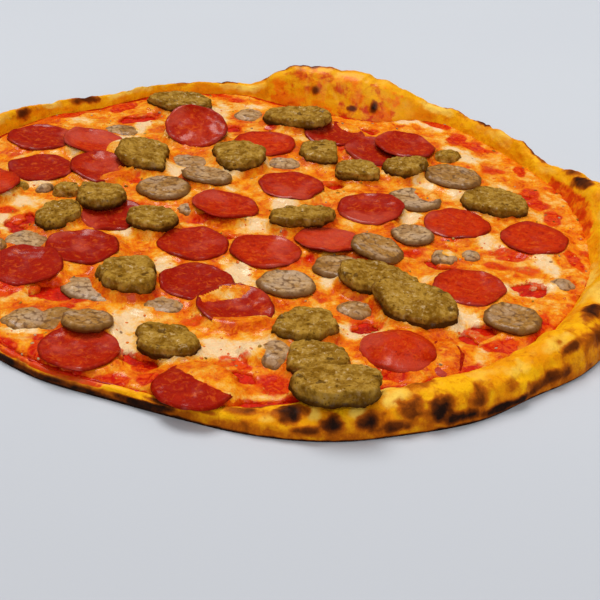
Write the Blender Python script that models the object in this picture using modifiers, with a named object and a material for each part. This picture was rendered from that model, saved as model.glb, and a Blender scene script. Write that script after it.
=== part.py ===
"""A sixteen-inch thin-crust meat pizza: crust, tomato sauce, melted mozzarella and its sliced toppings.

Metres, +Z up. The origin is the middle of the flat underside. The shown front of the pizza looks along -Y.
Blender 4.5: blender --background --python part.py
"""

import math

import bmesh
import bpy
import numpy as np
from mathutils import Matrix, Vector, noise
from mathutils.bvhtree import BVHTree

MM = 0.001

# Layers, from the bottom up
FLOOR = 4.0 * MM  # thickness of the baked dough under the sauce
SAUCE_THICK = 1.3 * MM
CHEESE_THICK = 1.9 * MM
CHEESE_RELIEF = 0.9 * MM  # how far the melted cheese rises and falls
GAP = 0.3 * MM  # between pieces that touch
REST_GAP = 0.4 * MM  # under a slice that lies on others

# The rim, every 10 degrees anticlockwise from +X: outer radius, inner radius and height in mm.
# It is puffy on the right, blown into a bubble from 65 to 95 degrees, and thin and flat at the front left.
RIM_STATIONS = (
    (206, 175, 20),
    (206, 177, 23),
    (204, 179, 20),
    (195, 180, 14),
    (196, 183, 16),
    (202, 188, 15),
    (206, 191, 15),
    (204, 168, 28),
    (203, 166, 32),
    (201, 174, 27),
    (200, 190, 14),
    (200, 194, 14),
    (199, 194, 14),
    (198, 189, 13),
    (202, 195, 15),
    (206, 195, 16),
    (206, 193, 17),
    (205, 191, 16),
    (204, 190, 15),
    (203, 190, 14),
    (202, 191, 12),
    (201, 192, 10),
    (200, 194, 8),
    (200, 195, 7),
    (200, 194, 6.5),
    (197, 191, 6.5),
    (199, 192, 7.5),
    (205, 190, 9),
    (209, 184, 12),
    (208, 179, 15),
    (208, 180, 16),
    (204, 178, 17),
    (206, 177, 18),
    (205, 175, 18),
    (206, 175, 19),
    (207, 175, 20),
)
# The turned rim before it is pushed to the stations above
TURNED_OUTER = 203 * MM
TURNED_INNER = 180 * MM
TURNED_HEIGHT = 16 * MM
CRUST_STEPS = 96
RIM_CRAG = 1.1 * MM  # how rough the baked rim is
CRAG_SPAN = 14 * MM  # across one swelling of the rim
# Small blisters on the rim: bearing in degrees, share of the way from inner to outer, height and half-width in mm
RIM_BLISTERS = (
    (88, 0.45, 3.0, 12),
    (97, 0.45, -3.0, 9),
    (38, 0.45, 3.0, 9),
    (57, 0.55, 3.0, 8),
    (133, 0.5, 3.0, 7),
    (148, 0.5, 3.5, 8),
    (276, 0.35, 4.5, 7),
    (283, 0.75, 3.0, 6),
    (297, 0.6, 3.5, 7),
    (318, 0.35, 3.0, 9),
    (338, 0.4, 4.0, 10),
    (12, 0.2, 3.5, 10),
)

SAUCE_STEPS = 60
SAUCE_MARGIN = 1.6 * MM

CHEESE_GRID = 27  # squares across the cheese's relief
CHEESE_EDGE_POINTS = 84
CHEESE_MARGIN = 5.5 * MM
CHEESE_WOBBLE = 3.5 * MM
# Places where the sauce shows through the cheese: x, y, half-length, half-width in mm and turn in degrees
SAUCE_WINDOWS = (
    (-103, -103, 16, 8, 10),
    (-58, -161, 14, 5, -20),
    (-12, -172, 15, 7, -5),
    (52, -115, 9, 6, 30),
    (92, -42, 10, 5, -30),
    (140, -60, 12, 8, 20),
    (107, -113, 12, 7, 40),
    (143, 50, 11, 7, 75),
    (50, 140, 12, 6, -10),
    (-95, 132, 15, 6, 35),
    (-38, 126, 10, 6, -20),
    (-20, -28, 10, 5, 25),
    (-138, -30, 12, 7, 80),
    (30, 50, 9, 5, 0),
)
WINDOW_POINTS = 14

# Pepperoni: x, y in mm, how far the edge curls up in mm (below 0 it is domed), tilt in degrees and its bearing.
# Each list is in the order of laying, and each later list lies on the earlier ones.
PEPPERONI_DIAMETER = 39 * MM
PEPPERONI_THICK = 1.7 * MM
PEPPERONI_LOW = (
    (-149, 80, 1.5, 0, 0),
    (-115, 78, 1.8, 0, 0),
    (-140, 38, 1.2, 0, 0),
    (-166, 8, 1.0, 0, 0),
    (-105, 43, 1.5, 0, 0),
    (-12, 99, 1.6, 0, 0),
    (31, 124, 1.0, 0, 0),
    (-88, -18, 1.0, 0, 0),
    (-99, -59, 1.4, 0, 0),
    (-124, -85, 1.2, 0, 0),
    (-36, -86, 1.5, 0, 0),
    (-42, -44, 1.0, 0, 0),
    (7, 39, 1.2, 0, 0),
    (-29, 4, 2.6, 0, 0),
    (-3, -48, 1.8, 0, 0),
    (31, -30, 1.4, 0, 0),
    (-14, -111, 2.8, 0, 0),
    (57, 100, 1.0, 0, 0),
    (76, 107, 1.6, 0, 0),
    (54, 15, 1.3, 0, 0),
    (103, 5, 1.2, 0, 0),
    (146, -6, 1.5, 0, 0),
    (105, -69, 1.4, 0, 0),
    (66, -139, -8.0, 0, 0),
    (-83, -159, 1.0, 0, 0),
    (-27, -184, -2.5, 0, 0),
)
PEPPERONI_HIGH = (
    (-56, 106, 1.0, 22, 100),
)

# Sausage: x, y, length, width in mm, turn in degrees
SAUSAGE_THICK = 4.0 * MM
SAUSAGE_LOW = (
    (-66, 22, 32, 30, 0),
    (-43, 40, 31, 29, 20),
    (104, 70, 37, 33, -15),
    (80, 33, 32, 28, -10),
    (77, -14, 24, 24, 0),
    (37, -60, 29, 26, 0),
    (125, -99, 30, 30, 0),
    (10, -82, 31, 26, -5),
)
SAUSAGE_HIGH = (
    (57, -39, 30, 29, 30),
    (-83, -138, 26, 23, 10),
)

# Meatball slices: x, y, length, width, height in mm, turn in degrees, and the bearing of the side that is cut flat
MEATBALL_LOW = (
    (-71, 154, 43, 27, 6.5, -5, 270),
    (-81, 60, 38, 40, 7, 30, 0),
    (7, 138, 46, 32, 7, -5, 90),
    (-28, 68, 38, 36, 7, -20, 200),
    (-117, -29, 30, 26, 7, 80, 330),
    (-66, -26, 29, 26, 6.5, 0, 90),
    (-68, -91, 36, 36, 9, 0, 10),
    (-45, -150, 37, 25, 7, -20, 190),
    (24, 88, 28, 29, 7, 0, 0),
    (46, 63, 28, 29, 7, 10, 270),
    (75, 73, 27, 24, 6.5, 0, 90),
    (15, -7, 42, 24, 6.5, 20, 90),
    (126, 33, 41, 36, 7, -25, 250),
    (56, -76, 44, 27, 7, -5, 270),
    (26, -156, 37, 28, 7, 5, 180),
    (-172, -38, 38, 28, 8, 75, 180),
)
MEATBALL_HIGH = (
    (-100, -4, 33, 28, 7, 0, 180),
    (74, -100, 50, 30, 7, -12, 200),
    (20, -126, 36, 33, 7, 20, 150),
    (40, -187, 50, 30, 10, 5, 0),
)

# Bits half sunk in the cheese, which are fused to it: x, y, length, width, height above it in mm, turn in degrees
SUNKEN_BITS = (
    (-103, 108, 24, 20, 1.0, 0),
    (-25, 147, 18, 20, 2.0, 0),
    (-56, 66, 21, 18, 1.5, 10),
    (-49, 1, 15, 13, 2.0, 0),
    (1, 74, 20, 13, 2.0, 0),
    (94, -34, 16, 16, 2.5, 0),
    (109, -30, 12, 11, 2.5, 40),
    (153, -54, 14, 13, 1.5, 0),
    (-88, -98, 28, 24, 1.6, 0),
    (-56, -112, 28, 20, 1.6, -10),
    (-114, -133, 25, 22, 2.2, 40),
    (-98, -132, 22, 22, 1.8, 0),
    (-129, -54, 24, 20, 1.8, 30),
    (2, -151, 17, 26, 4.0, 70),
    (46, -99, 20, 18, 2.0, 0),
    (-133, 13, 13, 9, 3.0, 60),
    (-120, 12, 18, 15, 5.0, 30),
    (103, 104, 20, 15, 4.5, 40),
    (-146, -60, 15, 13, 3.5, 0),
    (-148, 12, 14, 10, 3.0, 20),
    (-149, -84, 28, 26, 1.8, 0),
    (82, -137, 37, 37, 1.0, 0),
)
BIT_DEPTH = 1.2 * MM  # how far a bit's foot goes into the cheese

RASTER = 1.0 * MM  # spacing of the height map on which the slices are laid
MAP_HALF = 215 * MM
STEEPEST_REST = 0.45


def clear_scene():
    for obj in list(bpy.data.objects):
        bpy.data.objects.remove(obj, do_unlink=True)


def make_collection(name, hidden=False):
    made = bpy.data.collections.new(name)
    bpy.context.scene.collection.children.link(made)
    made.hide_render = hidden
    return made


def make_material(name, colour, roughness):
    made = bpy.data.materials.new(name)
    made.use_nodes = True
    shader = made.node_tree.nodes["Principled BSDF"]
    shader.inputs["Base Color"].default_value = (*colour, 1)
    shader.inputs["Roughness"].default_value = roughness
    shader.inputs["Metallic"].default_value = 0
    return made


def add_mesh(name, mesh, collection, material):
    obj = bpy.data.objects.new(name, mesh)
    collection.objects.link(obj)
    mesh.materials.clear()
    mesh.materials.append(material)
    return obj


def evaluated_mesh(obj):
    bpy.context.view_layer.update()
    graph = bpy.context.evaluated_depsgraph_get()
    return bpy.data.meshes.new_from_object(obj.evaluated_get(graph))


def turned_mesh(name, profile, steps):
    """A profile of (radius, height) points, from the top of the axis over the outside to its foot, turned about Z."""
    mesh = bpy.data.meshes.new(name + "_profile")
    points = [(radius, 0, height) for radius, height in profile]
    mesh.from_pydata(points, [(i, i + 1) for i in range(len(points) - 1)], [])
    guide = bpy.data.objects.new(name + "_guide", mesh)
    bpy.context.scene.collection.objects.link(guide)
    screw = guide.modifiers.new("turn", "SCREW")
    screw.axis = "Z"
    screw.angle = 2 * math.pi
    screw.steps = steps
    screw.render_steps = steps
    screw.use_merge_vertices = True
    screw.merge_threshold = 0.00005
    made = evaluated_mesh(guide)
    bpy.data.objects.remove(guide, do_unlink=True)
    bpy.data.meshes.remove(mesh)
    made.name = name
    return made


def swell(x, y, z, span, seed):
    """Smooth noise from -1 to 1 that changes over span."""
    place = Vector((x / span + 11.3 * seed, y / span - 7.1 * seed, z / span + 3.7 * seed))
    return noise.noise(place) + 0.5 * noise.noise(place * 2.1)


def smooth_step(low, high, value):
    share = min(1.0, max(0.0, (value - low) / (high - low)))
    return share * share * (3 - 2 * share)


def rim_at(bearing):
    """Outer radius, inner radius and height of the rim at a bearing in radians, through the stations on a smooth curve."""
    count = len(RIM_STATIONS)
    place = (bearing / (2 * math.pi) * count) % count
    first = int(place)
    t = place - first
    before, here, after, beyond = (RIM_STATIONS[(first + k) % count] for k in (-1, 0, 1, 2))
    return [
        MM * (b + 0.5 * t * (c - a + t * (2 * a - 5 * b + 4 * c - d + t * (3 * (b - c) + d - a))))
        for a, b, c, d in zip(before, here, after, beyond)
    ]


def blister_height(bearing, share):
    total = 0.0
    for degrees, place, height, half_width in RIM_BLISTERS:
        turn = (bearing - math.radians(degrees) + math.pi) % (2 * math.pi) - math.pi
        along = turn * TURNED_OUTER / (half_width * MM)
        across = (share - place) * (TURNED_OUTER - TURNED_INNER) / (half_width * MM)
        total += height * MM * math.exp(-(along**2) - across**2)
    return total


def crust_profile():
    """The rim's section from the middle of the dough floor, over the ridge and down to the foot."""
    width = TURNED_OUTER - TURNED_INNER
    lift = TURNED_HEIGHT - FLOOR
    section = (
        (0.00, FLOOR),
        (0.10, FLOOR + 0.30 * lift),
        (0.22, FLOOR + 0.66 * lift),
        (0.36, FLOOR + 0.90 * lift),
        (0.52, FLOOR + 1.00 * lift),
        (0.68, FLOOR + 0.96 * lift),
        (0.82, FLOOR + 0.78 * lift),
        (0.93, FLOOR + 0.46 * lift),
        (0.99, FLOOR + 0.10 * lift),
        (1.00, 0.40 * FLOOR),
        (0.97, 0.0),
    )
    rim = [(TURNED_INNER + share * width, height) for share, height in section]
    return [(0, FLOOR)] + rim + [(0, 0)]


def build_crust(collection, material):
    mesh = turned_mesh("pizza_crust", crust_profile(), CRUST_STEPS)
    width = TURNED_OUTER - TURNED_INNER
    for vertex in mesh.vertices:
        x, y, z = vertex.co
        radius = math.hypot(x, y)
        if radius < 0.5 * TURNED_INNER:
            continue
        bearing = math.atan2(y, x)
        outer, inner, height = rim_at(bearing)
        share = (radius - TURNED_INNER) / width
        pushed = inner + share * (outer - inner)
        if z > FLOOR * 1.01:
            z = FLOOR + (z - FLOOR) * (height - FLOOR) / (TURNED_HEIGHT - FLOOR)
            full = min(1.0, (height - FLOOR) / (10 * MM))
            crag = RIM_CRAG * full * smooth_step(0.05, 0.3, share)
            z += crag * swell(x, y, 0, CRAG_SPAN, 1)
            z += full * blister_height(bearing, share)
        if share > 0.9 and z > 0:
            pushed += RIM_CRAG * swell(x, y, 0, 2 * CRAG_SPAN, 2)
        vertex.co = (pushed * math.cos(bearing), pushed * math.sin(bearing), z)
    mesh.shade_smooth()
    return add_mesh("pizza_crust", mesh, collection, material)


def build_sauce(collection, material):
    """A thin even layer over the dough floor, whose edge follows the rim's foot."""
    low = FLOOR + GAP
    top = low + SAUCE_THICK
    edge = TURNED_INNER
    profile = (
        (0, top),
        (edge - 1.2 * MM, top),
        (edge, low + 0.5 * SAUCE_THICK),
        (edge - 0.6 * MM, low),
        (0, low),
    )
    mesh = turned_mesh("tomato_sauce", profile, SAUCE_STEPS)
    for vertex in mesh.vertices:
        x, y, _ = vertex.co
        radius = math.hypot(x, y)
        if radius < 0.5 * edge:
            continue
        bearing = math.atan2(y, x)
        pushed = radius - edge + rim_at(bearing)[1] - SAUCE_MARGIN
        vertex.co.x = pushed * math.cos(bearing)
        vertex.co.y = pushed * math.sin(bearing)
    mesh.shade_smooth()
    return add_mesh("tomato_sauce", mesh, collection, material)


def cheese_edge():
    """The cheese's ragged outline, a little inside the sauce's."""
    points = []
    for i in range(CHEESE_EDGE_POINTS):
        bearing = 2 * math.pi * i / CHEESE_EDGE_POINTS
        radius = rim_at(bearing)[1] - CHEESE_MARGIN
        ragged = swell(radius * math.cos(bearing), radius * math.sin(bearing), 0, 13 * MM, 5)
        radius += CHEESE_WOBBLE * min(ragged, 0.6)
        points.append((radius * math.cos(bearing), radius * math.sin(bearing)))
    return points


def window_edge(x, y, half_length, half_width, turn):
    points = []
    lean = math.radians(turn)
    for i in range(WINDOW_POINTS):
        bearing = 2 * math.pi * i / WINDOW_POINTS
        ragged = 1 + 0.22 * swell(x + 30 * math.cos(bearing), y + 30 * math.sin(bearing), 0, 17, 6)
        along = half_length * ragged * math.cos(bearing)
        across = half_width * ragged * math.sin(bearing)
        points.append(
            (
                MM * (x + along * math.cos(lean) - across * math.sin(lean)),
                MM * (y + along * math.sin(lean) + across * math.cos(lean)),
            )
        )
    return points


def cheese_outline_prism(low, high):
    """The flat outline with its windows, as tall as the cheese and more."""
    curve = bpy.data.curves.new("cheese_outline", "CURVE")
    curve.dimensions = "2D"
    curve.fill_mode = "BOTH"
    curve.extrude = 0.5 * (high - low)
    for points in [cheese_edge()] + [window_edge(*row) for row in SAUCE_WINDOWS]:
        spline = curve.splines.new("POLY")
        spline.points.add(len(points) - 1)
        for slot, (x, y) in zip(spline.points, points):
            slot.co = (x, y, 0, 1)
        spline.use_cyclic_u = True
    guide = bpy.data.objects.new("cheese_outline", curve)
    bpy.context.scene.collection.objects.link(guide)
    mesh = evaluated_mesh(guide)
    bpy.data.objects.remove(guide, do_unlink=True)
    mesh.transform(Matrix.Translation((0, 0, 0.5 * (high + low))))
    body = bmesh.new()
    body.from_mesh(mesh)
    bmesh.ops.remove_doubles(body, verts=body.verts, dist=0.00002)
    bmesh.ops.recalc_face_normals(body, faces=body.faces)
    body.to_mesh(mesh)
    body.free()
    return mesh


def cheese_slab(low):
    """A flat-bottomed slab whose top rises and falls as melted cheese does."""
    body = bmesh.new()
    bmesh.ops.create_grid(body, x_segments=CHEESE_GRID, y_segments=CHEESE_GRID, size=TURNED_OUTER)
    for vertex in body.verts:
        x, y, _ = vertex.co
        vertex.co.z = low + CHEESE_THICK + CHEESE_RELIEF * swell(x, y, 0, 34 * MM, 8)
    border = [edge for edge in body.edges if edge.is_boundary]
    made = bmesh.ops.extrude_edge_only(body, edges=border)["geom"]
    for vertex in (item for item in made if isinstance(item, bmesh.types.BMVert)):
        vertex.co.z = low
    bmesh.ops.contextual_create(body, geom=[edge for edge in body.edges if edge.is_boundary])
    bmesh.ops.recalc_face_normals(body, faces=body.faces)
    mesh = bpy.data.meshes.new("mozzarella")
    body.to_mesh(mesh)
    body.free()
    return mesh


def oval_reach(bearing, length, width):
    """Distance from an oval's middle to its edge at a bearing from its long axis."""
    return 0.5 * length * width / math.hypot(width * math.cos(bearing), length * math.sin(bearing))


def shape_slice(mesh, length, width, turn, seed, ragged, flat=None, flat_at=0.33):
    """Pushes a slice turned at radius 1 to an oval of the given size, ragged, and cut flat on one side."""
    for vertex in mesh.vertices:
        x, y, z = vertex.co
        radius = math.hypot(x, y)
        if radius < 1e-6:
            continue
        bearing = math.atan2(y, x)
        reach = oval_reach(bearing - math.radians(turn), length, width)
        reach *= 1 + ragged * swell(math.cos(bearing), math.sin(bearing), 0, 0.9, seed)
        if flat is not None:
            facing = math.cos(bearing - math.radians(flat))
            if facing > 0.05:
                reach = min(reach, flat_at * length / facing)
        vertex.co = (radius * reach * math.cos(bearing), radius * reach * math.sin(bearing), z)


def add_bits(cheese, low, material):
    """Fuses the half-sunk bits to the cheese, as one union."""
    bits = make_collection("sunken_bits", hidden=True)
    surface = BVHTree.FromObject(cheese, bpy.context.evaluated_depsgraph_get())
    for number, (x, y, length, width, height, turn) in enumerate(SUNKEN_BITS):
        place = Vector((x * MM, y * MM, 0))
        hit = surface.ray_cast(place + Vector((0, 0, 1)), Vector((0, 0, -1)))[0]
        level = hit.z if hit and hit.z > low else low + CHEESE_THICK
        top = level + height * MM
        foot = max(low + 0.2 * MM, level - BIT_DEPTH)
        profile = ((0, top), (0.72, top), (1, 0.5 * (top + level)), (1.02, foot), (0, foot))
        mesh = turned_mesh(f"bit_{number:02d}", profile, 11)
        shape_slice(mesh, length * MM, width * MM, turn, number, 0.12)
        mesh.transform(Matrix.Translation(place))
        bit = add_mesh(f"bit_{number:02d}", mesh, bits, material)
        bit.hide_render = True
    joined = cheese.modifiers.new("bits", "BOOLEAN")
    joined.operation = "UNION"
    joined.operand_type = "COLLECTION"
    joined.collection = bits
    joined.solver = "EXACT"
    cheese.data = evaluated_mesh(cheese)
    cheese.modifiers.clear()
    for obj in list(bits.objects):
        bpy.data.objects.remove(obj, do_unlink=True)
    bpy.data.collections.remove(bits)


def build_cheese(collection, cutters, material):
    low = FLOOR + GAP + SAUCE_THICK + GAP
    cheese = add_mesh("mozzarella", cheese_slab(low), collection, material)
    prism = add_mesh("cheese_prism", cheese_outline_prism(low - 3 * MM, low + 12 * MM), cutters, material)
    prism.hide_render = True
    prism.display_type = "WIRE"
    cut = cheese.modifiers.new("outline", "BOOLEAN")
    cut.operation = "INTERSECT"
    cut.object = prism
    cut.solver = "EXACT"
    cheese.data = evaluated_mesh(cheese)
    cheese.modifiers.clear()
    bpy.data.objects.remove(prism, do_unlink=True)
    add_bits(cheese, low, material)
    return cheese


class HeightMap:
    """Heights of what has been laid so far, on a square raster."""

    def __init__(self):
        self.count = int(2 * MAP_HALF / RASTER) + 1
        self.heights = np.zeros((self.count, self.count))

    def place(self, index):
        return index * RASTER - MAP_HALF

    def window(self, obj):
        corners = np.array([vertex.co for vertex in obj.data.vertices])
        low = np.floor((corners.min(0)[:2] + MAP_HALF) / RASTER).astype(int) - 1
        high = np.ceil((corners.max(0)[:2] + MAP_HALF) / RASTER).astype(int) + 1
        low = np.clip(low, 0, self.count - 1)
        high = np.clip(high, 0, self.count - 1)
        return [(i, j) for i in range(low[0], high[0] + 1) for j in range(low[1], high[1] + 1)]

    def add(self, obj):
        """Raises the map to the top of an object."""
        surface = surface_of(obj)
        for i, j in self.window(obj):
            hit = surface.ray_cast(Vector((self.place(i), self.place(j), 1)), Vector((0, 0, -1)))[0]
            if hit:
                self.heights[i, j] = max(self.heights[i, j], hit.z)

    def widened(self):
        """The map with each point raised to its highest neighbour, so that edges between points count."""
        wide = self.heights.copy()
        for i in (-1, 0, 1):
            for j in (-1, 0, 1):
                wide = np.maximum(wide, np.roll(np.roll(self.heights, i, 0), j, 1))
        return wide


def surface_of(obj):
    return BVHTree.FromObject(obj, bpy.context.evaluated_depsgraph_get())


def lay(obj, laid, free):
    """Rests a slice on what is beneath: the lowest plane that clears it or, if not free, straight down."""
    middle_x, middle_y = obj.location[:2]
    obj.data.transform(obj.matrix_world)
    obj.matrix_world = Matrix.Identity(4)
    bpy.context.view_layer.update()
    surface = surface_of(obj)
    under = laid.widened()
    rows = []
    for i, j in laid.window(obj):
        x, y = laid.place(i), laid.place(j)
        hit = surface.ray_cast(Vector((x, y, -1)), Vector((0, 0, 1)))[0]
        if hit:
            rows.append((x - middle_x, y - middle_y, under[i, j] + REST_GAP - hit.z))
    x, y, need = np.array(rows).T

    def lift(slope_x, slope_y):
        return (need - slope_x * x - slope_y * y).max()

    best = (0.0, 0.0)
    step = 0.16 if free else 0.0
    while step > 0.002:
        around = [(best[0] + a * step, best[1] + b * step) for a in (-1, 0, 1) for b in (-1, 0, 1)]
        around = [slopes for slopes in around if math.hypot(*slopes) < STEEPEST_REST]
        found = min(around, key=lambda slopes: lift(*slopes))
        if lift(*found) < lift(*best) - 1e-7:
            best = found
        else:
            step *= 0.5
    height = lift(*best)
    for vertex in obj.data.vertices:
        along_x = vertex.co.x - middle_x
        along_y = vertex.co.y - middle_y
        vertex.co.z += height + best[0] * along_x + best[1] * along_y
    laid.add(obj)


def tilted(x, y, tilt, bearing):
    """A slice's place, with the side at the bearing raised by a tilt in degrees."""
    axis = Vector((math.sin(math.radians(bearing)), -math.cos(math.radians(bearing)), 0))
    return Matrix.Translation((x * MM, y * MM, 0)) @ Matrix.Rotation(math.radians(tilt), 4, axis)


def pepperoni_slice(name, curl, seed):
    thick = PEPPERONI_THICK
    profile = (
        (0, thick),
        (0.90, 1.10 * thick),
        (1.00, 0.62 * thick),
        (0.93, 0),
        (0, 0),
    )
    mesh = turned_mesh(name, profile, 16)
    shape_slice(mesh, PEPPERONI_DIAMETER, PEPPERONI_DIAMETER, 0, seed, 0.02)
    for vertex in mesh.vertices:
        share = math.hypot(vertex.co.x, vertex.co.y) / (0.5 * PEPPERONI_DIAMETER)
        vertex.co.z += curl * MM * (share**2 if curl > 0 else share**2 - 1)
    return mesh


def sausage_slice(name, length, width, turn, seed):
    thick = SAUSAGE_THICK
    profile = ((0, 0.95 * thick), (0.84, thick), (1.0, 0.5 * thick), (0.92, 0), (0, 0))
    mesh = turned_mesh(name, profile, 14)
    shape_slice(mesh, length * MM, width * MM, turn, seed, 0.05)
    return mesh


def meatball_slice(name, length, width, height, turn, flat, seed):
    tall = height * MM
    profile = (
        (0, 0.94 * tall),
        (0.62, tall),
        (0.92, 0.80 * tall),
        (1.00, 0.35 * tall),
        (0.90, 0),
        (0, 0),
    )
    mesh = turned_mesh(name, profile, 14)
    shape_slice(mesh, length * MM, width * MM, turn, seed, 0.10, flat)
    for vertex in mesh.vertices:
        if vertex.co.z > 0.1 * tall:
            x, y, z = vertex.co
            vertex.co.z += 0.09 * tall * swell(x, y, z, 9 * MM, seed)
    return mesh


def lay_pepperoni(rows, start, laid, collection, material):
    for number, (x, y, curl, tilt, bearing) in enumerate(rows, start):
        name = f"pepperoni_{number:02d}"
        obj = add_mesh(name, pepperoni_slice(name, curl, number), collection, material)
        obj.matrix_world = tilted(x, y, tilt, bearing)
        lay(obj, laid, free=not tilt)


def lay_sausage(rows, start, laid, collection, material):
    for number, (x, y, length, width, turn) in enumerate(rows, start):
        name = f"sausage_slice_{number:02d}"
        mesh = sausage_slice(name, length, width, turn, number)
        obj = add_mesh(name, mesh, collection, material)
        obj.matrix_world = tilted(x, y, 0, 0)
        lay(obj, laid, free=True)


def lay_meatballs(rows, start, laid, collection, material):
    for number, (x, y, length, width, height, turn, flat) in enumerate(rows, start):
        name = f"meatball_slice_{number:02d}"
        mesh = meatball_slice(name, length, width, height, turn, flat, number)
        obj = add_mesh(name, mesh, collection, material)
        obj.matrix_world = tilted(x, y, 0, 0)
        lay(obj, laid, free=True)


def centre_on_box(collection, crust):
    """Puts the origin under the middle of the crust's box."""
    corners = np.array([vertex.co for vertex in crust.data.vertices])
    middle = 0.5 * (corners.min(0) + corners.max(0))
    shift = Matrix.Translation((-middle[0], -middle[1], 0))
    for obj in collection.objects:
        obj.data.transform(shift)


def main():
    clear_scene()
    pizza = make_collection("meat_pizza")
    cutters = make_collection("cutters", hidden=True)
    crust = build_crust(pizza, make_material("baked_crust", (0.72, 0.36, 0.08), 0.6))
    sauce = build_sauce(pizza, make_material("tomato_sauce", (0.55, 0.04, 0.01), 0.35))
    cheese = build_cheese(pizza, cutters, make_material("mozzarella", (0.86, 0.62, 0.30), 0.4))
    bpy.data.collections.remove(cutters)

    laid = HeightMap()
    for obj in (crust, sauce, cheese):
        laid.add(obj)
    pepperoni = make_material("pepperoni", (0.50, 0.035, 0.012), 0.35)
    sausage = make_material("sausage", (0.42, 0.30, 0.16), 0.5)
    meatball = make_material("meatball", (0.30, 0.20, 0.05), 0.65)
    lay_sausage(SAUSAGE_LOW, 1, laid, pizza, sausage)
    lay_pepperoni(PEPPERONI_LOW, 1, laid, pizza, pepperoni)
    lay_meatballs(MEATBALL_LOW, 1, laid, pizza, meatball)
    lay_sausage(SAUSAGE_HIGH, 1 + len(SAUSAGE_LOW), laid, pizza, sausage)
    lay_pepperoni(PEPPERONI_HIGH, 1 + len(PEPPERONI_LOW), laid, pizza, pepperoni)
    lay_meatballs(MEATBALL_HIGH, 1 + len(MEATBALL_LOW), laid, pizza, meatball)
    centre_on_box(pizza, crust)


main()
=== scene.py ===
"""Looks of the meat pizza: baked crust, glossy sauce, melted cheese, and the slices that it holds.

Metres, +Z up, in the CAD model's frame. Each dressed piece is rebuilt, finer, from the rings of its CAD node.
"""

import math

import bmesh
import bpy
import numpy as np
from mathutils import Matrix, Vector
from mathutils.bvhtree import BVHTree


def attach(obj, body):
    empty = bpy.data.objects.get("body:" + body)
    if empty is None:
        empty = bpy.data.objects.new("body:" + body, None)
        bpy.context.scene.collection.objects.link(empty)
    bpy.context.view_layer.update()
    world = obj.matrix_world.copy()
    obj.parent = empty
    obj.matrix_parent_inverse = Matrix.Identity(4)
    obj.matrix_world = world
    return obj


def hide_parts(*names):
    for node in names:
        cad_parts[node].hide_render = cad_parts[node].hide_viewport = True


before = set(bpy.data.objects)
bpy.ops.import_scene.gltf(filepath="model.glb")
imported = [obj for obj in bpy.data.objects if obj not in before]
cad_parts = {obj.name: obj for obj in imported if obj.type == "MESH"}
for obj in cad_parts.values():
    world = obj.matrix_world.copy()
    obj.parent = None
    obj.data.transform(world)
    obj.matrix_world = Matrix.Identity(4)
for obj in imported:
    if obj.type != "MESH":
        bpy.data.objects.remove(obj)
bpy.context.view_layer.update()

MM = 0.001
AXIS = np.array((-0.6, 2.5)) * MM  # what the crust was turned about
CRUST_RINGS = 11  # points on the CAD rim's section, from its inner to its outer foot
CRUST_MERIDIANS = 96

SAUCE_TOP = 6.2 * MM
DOUGH_FLOOR = 4.0 * MM
SHEET_SPACING = 1.15 * MM  # between the cheese's points
SHEET_HALF = 201 * MM
CHEESE_LIP = 4.5 * MM  # how far in the cheese is rounded towards its edge
RIM_NEAR = 160 * MM  # the rim is looked for farther out than this
TALL = 4.5 * MM  # a slice that stands up more than this from the cheese is a thick one
UPWARD = 0.6  # the least Z of a normal where crumbs and oil lie

# Charred places on the rim: bearing in degrees, share of the way over it from the inside, half-length in mm,
# half-width as a share, and how dark
CHARS = (
    (147, 0.28, 8, 0.10, 0.75),
    (133, 0.36, 11, 0.13, 0.66),
    (112, 0.47, 7, 0.05, 0.50),
    (103, 0.47, 8, 0.05, 0.75),
    (88, 0.48, 24, 0.05, 0.62),
    (84.4, 0.21, 3, 0.035, 0.70),
    (75.4, 0.12, 3.5, 0.025, 0.80),
    (71, 0.17, 2.5, 0.05, 1.0),
    (57, 0.50, 9, 0.05, 0.50),
    (50, 0.49, 7, 0.06, 0.75),
    (36, 0.51, 16, 0.06, 0.66),
    (22, 0.42, 8, 0.07, 0.55),
    (17, 0.36, 10, 0.10, 0.85),
    (3, 0.60, 9, 0.10, 0.35),
    (345, 0.66, 12, 0.08, 0.40),
    (329, 0.46, 10, 0.08, 0.80),
    (325, 0.66, 12, 0.10, 0.50),
    (319, 0.60, 9, 0.05, 0.66),
    (313, 0.80, 12, 0.08, 0.50),
    (305.6, 0.66, 5, 0.08, 0.40),
    (304.5, 0.90, 13, 0.06, 0.90),
    (300.4, 0.62, 6, 0.12, 0.46),
    (297, 0.86, 10, 0.07, 0.75),
    (294.4, 0.74, 6, 0.14, 0.98),
    (293.2, 0.39, 7, 0.08, 0.46),
    (290.3, 0.64, 7, 0.13, 0.62),
    (288, 0.80, 8, 0.08, 0.55),
    (285, 0.70, 6, 0.11, 0.76),
    (280.1, 0.70, 5, 0.13, 0.80),
    (277, 0.82, 6, 0.08, 0.55),
    (274.9, 0.52, 6.5, 0.15, 0.92),
    (270.4, 0.28, 8, 0.06, 0.60),
    (268.9, 0.46, 8, 0.12, 0.52),
    (264, 0.64, 6, 0.10, 0.46),
    (258.8, 0.62, 9, 0.14, 0.74),
    (255.4, 0.86, 13, 0.12, 1.0),
    (248, 0.94, 12, 0.05, 0.50),
    (240, 0.92, 14, 0.05, 0.45),
    (233, 0.92, 12, 0.08, 0.75),
    (224, 0.90, 14, 0.07, 0.50),
    (205, 0.60, 9, 0.12, 0.60),
    (186, 0.50, 8, 0.12, 0.70),
    (168, 0.50, 10, 0.12, 0.55),
)
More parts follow.
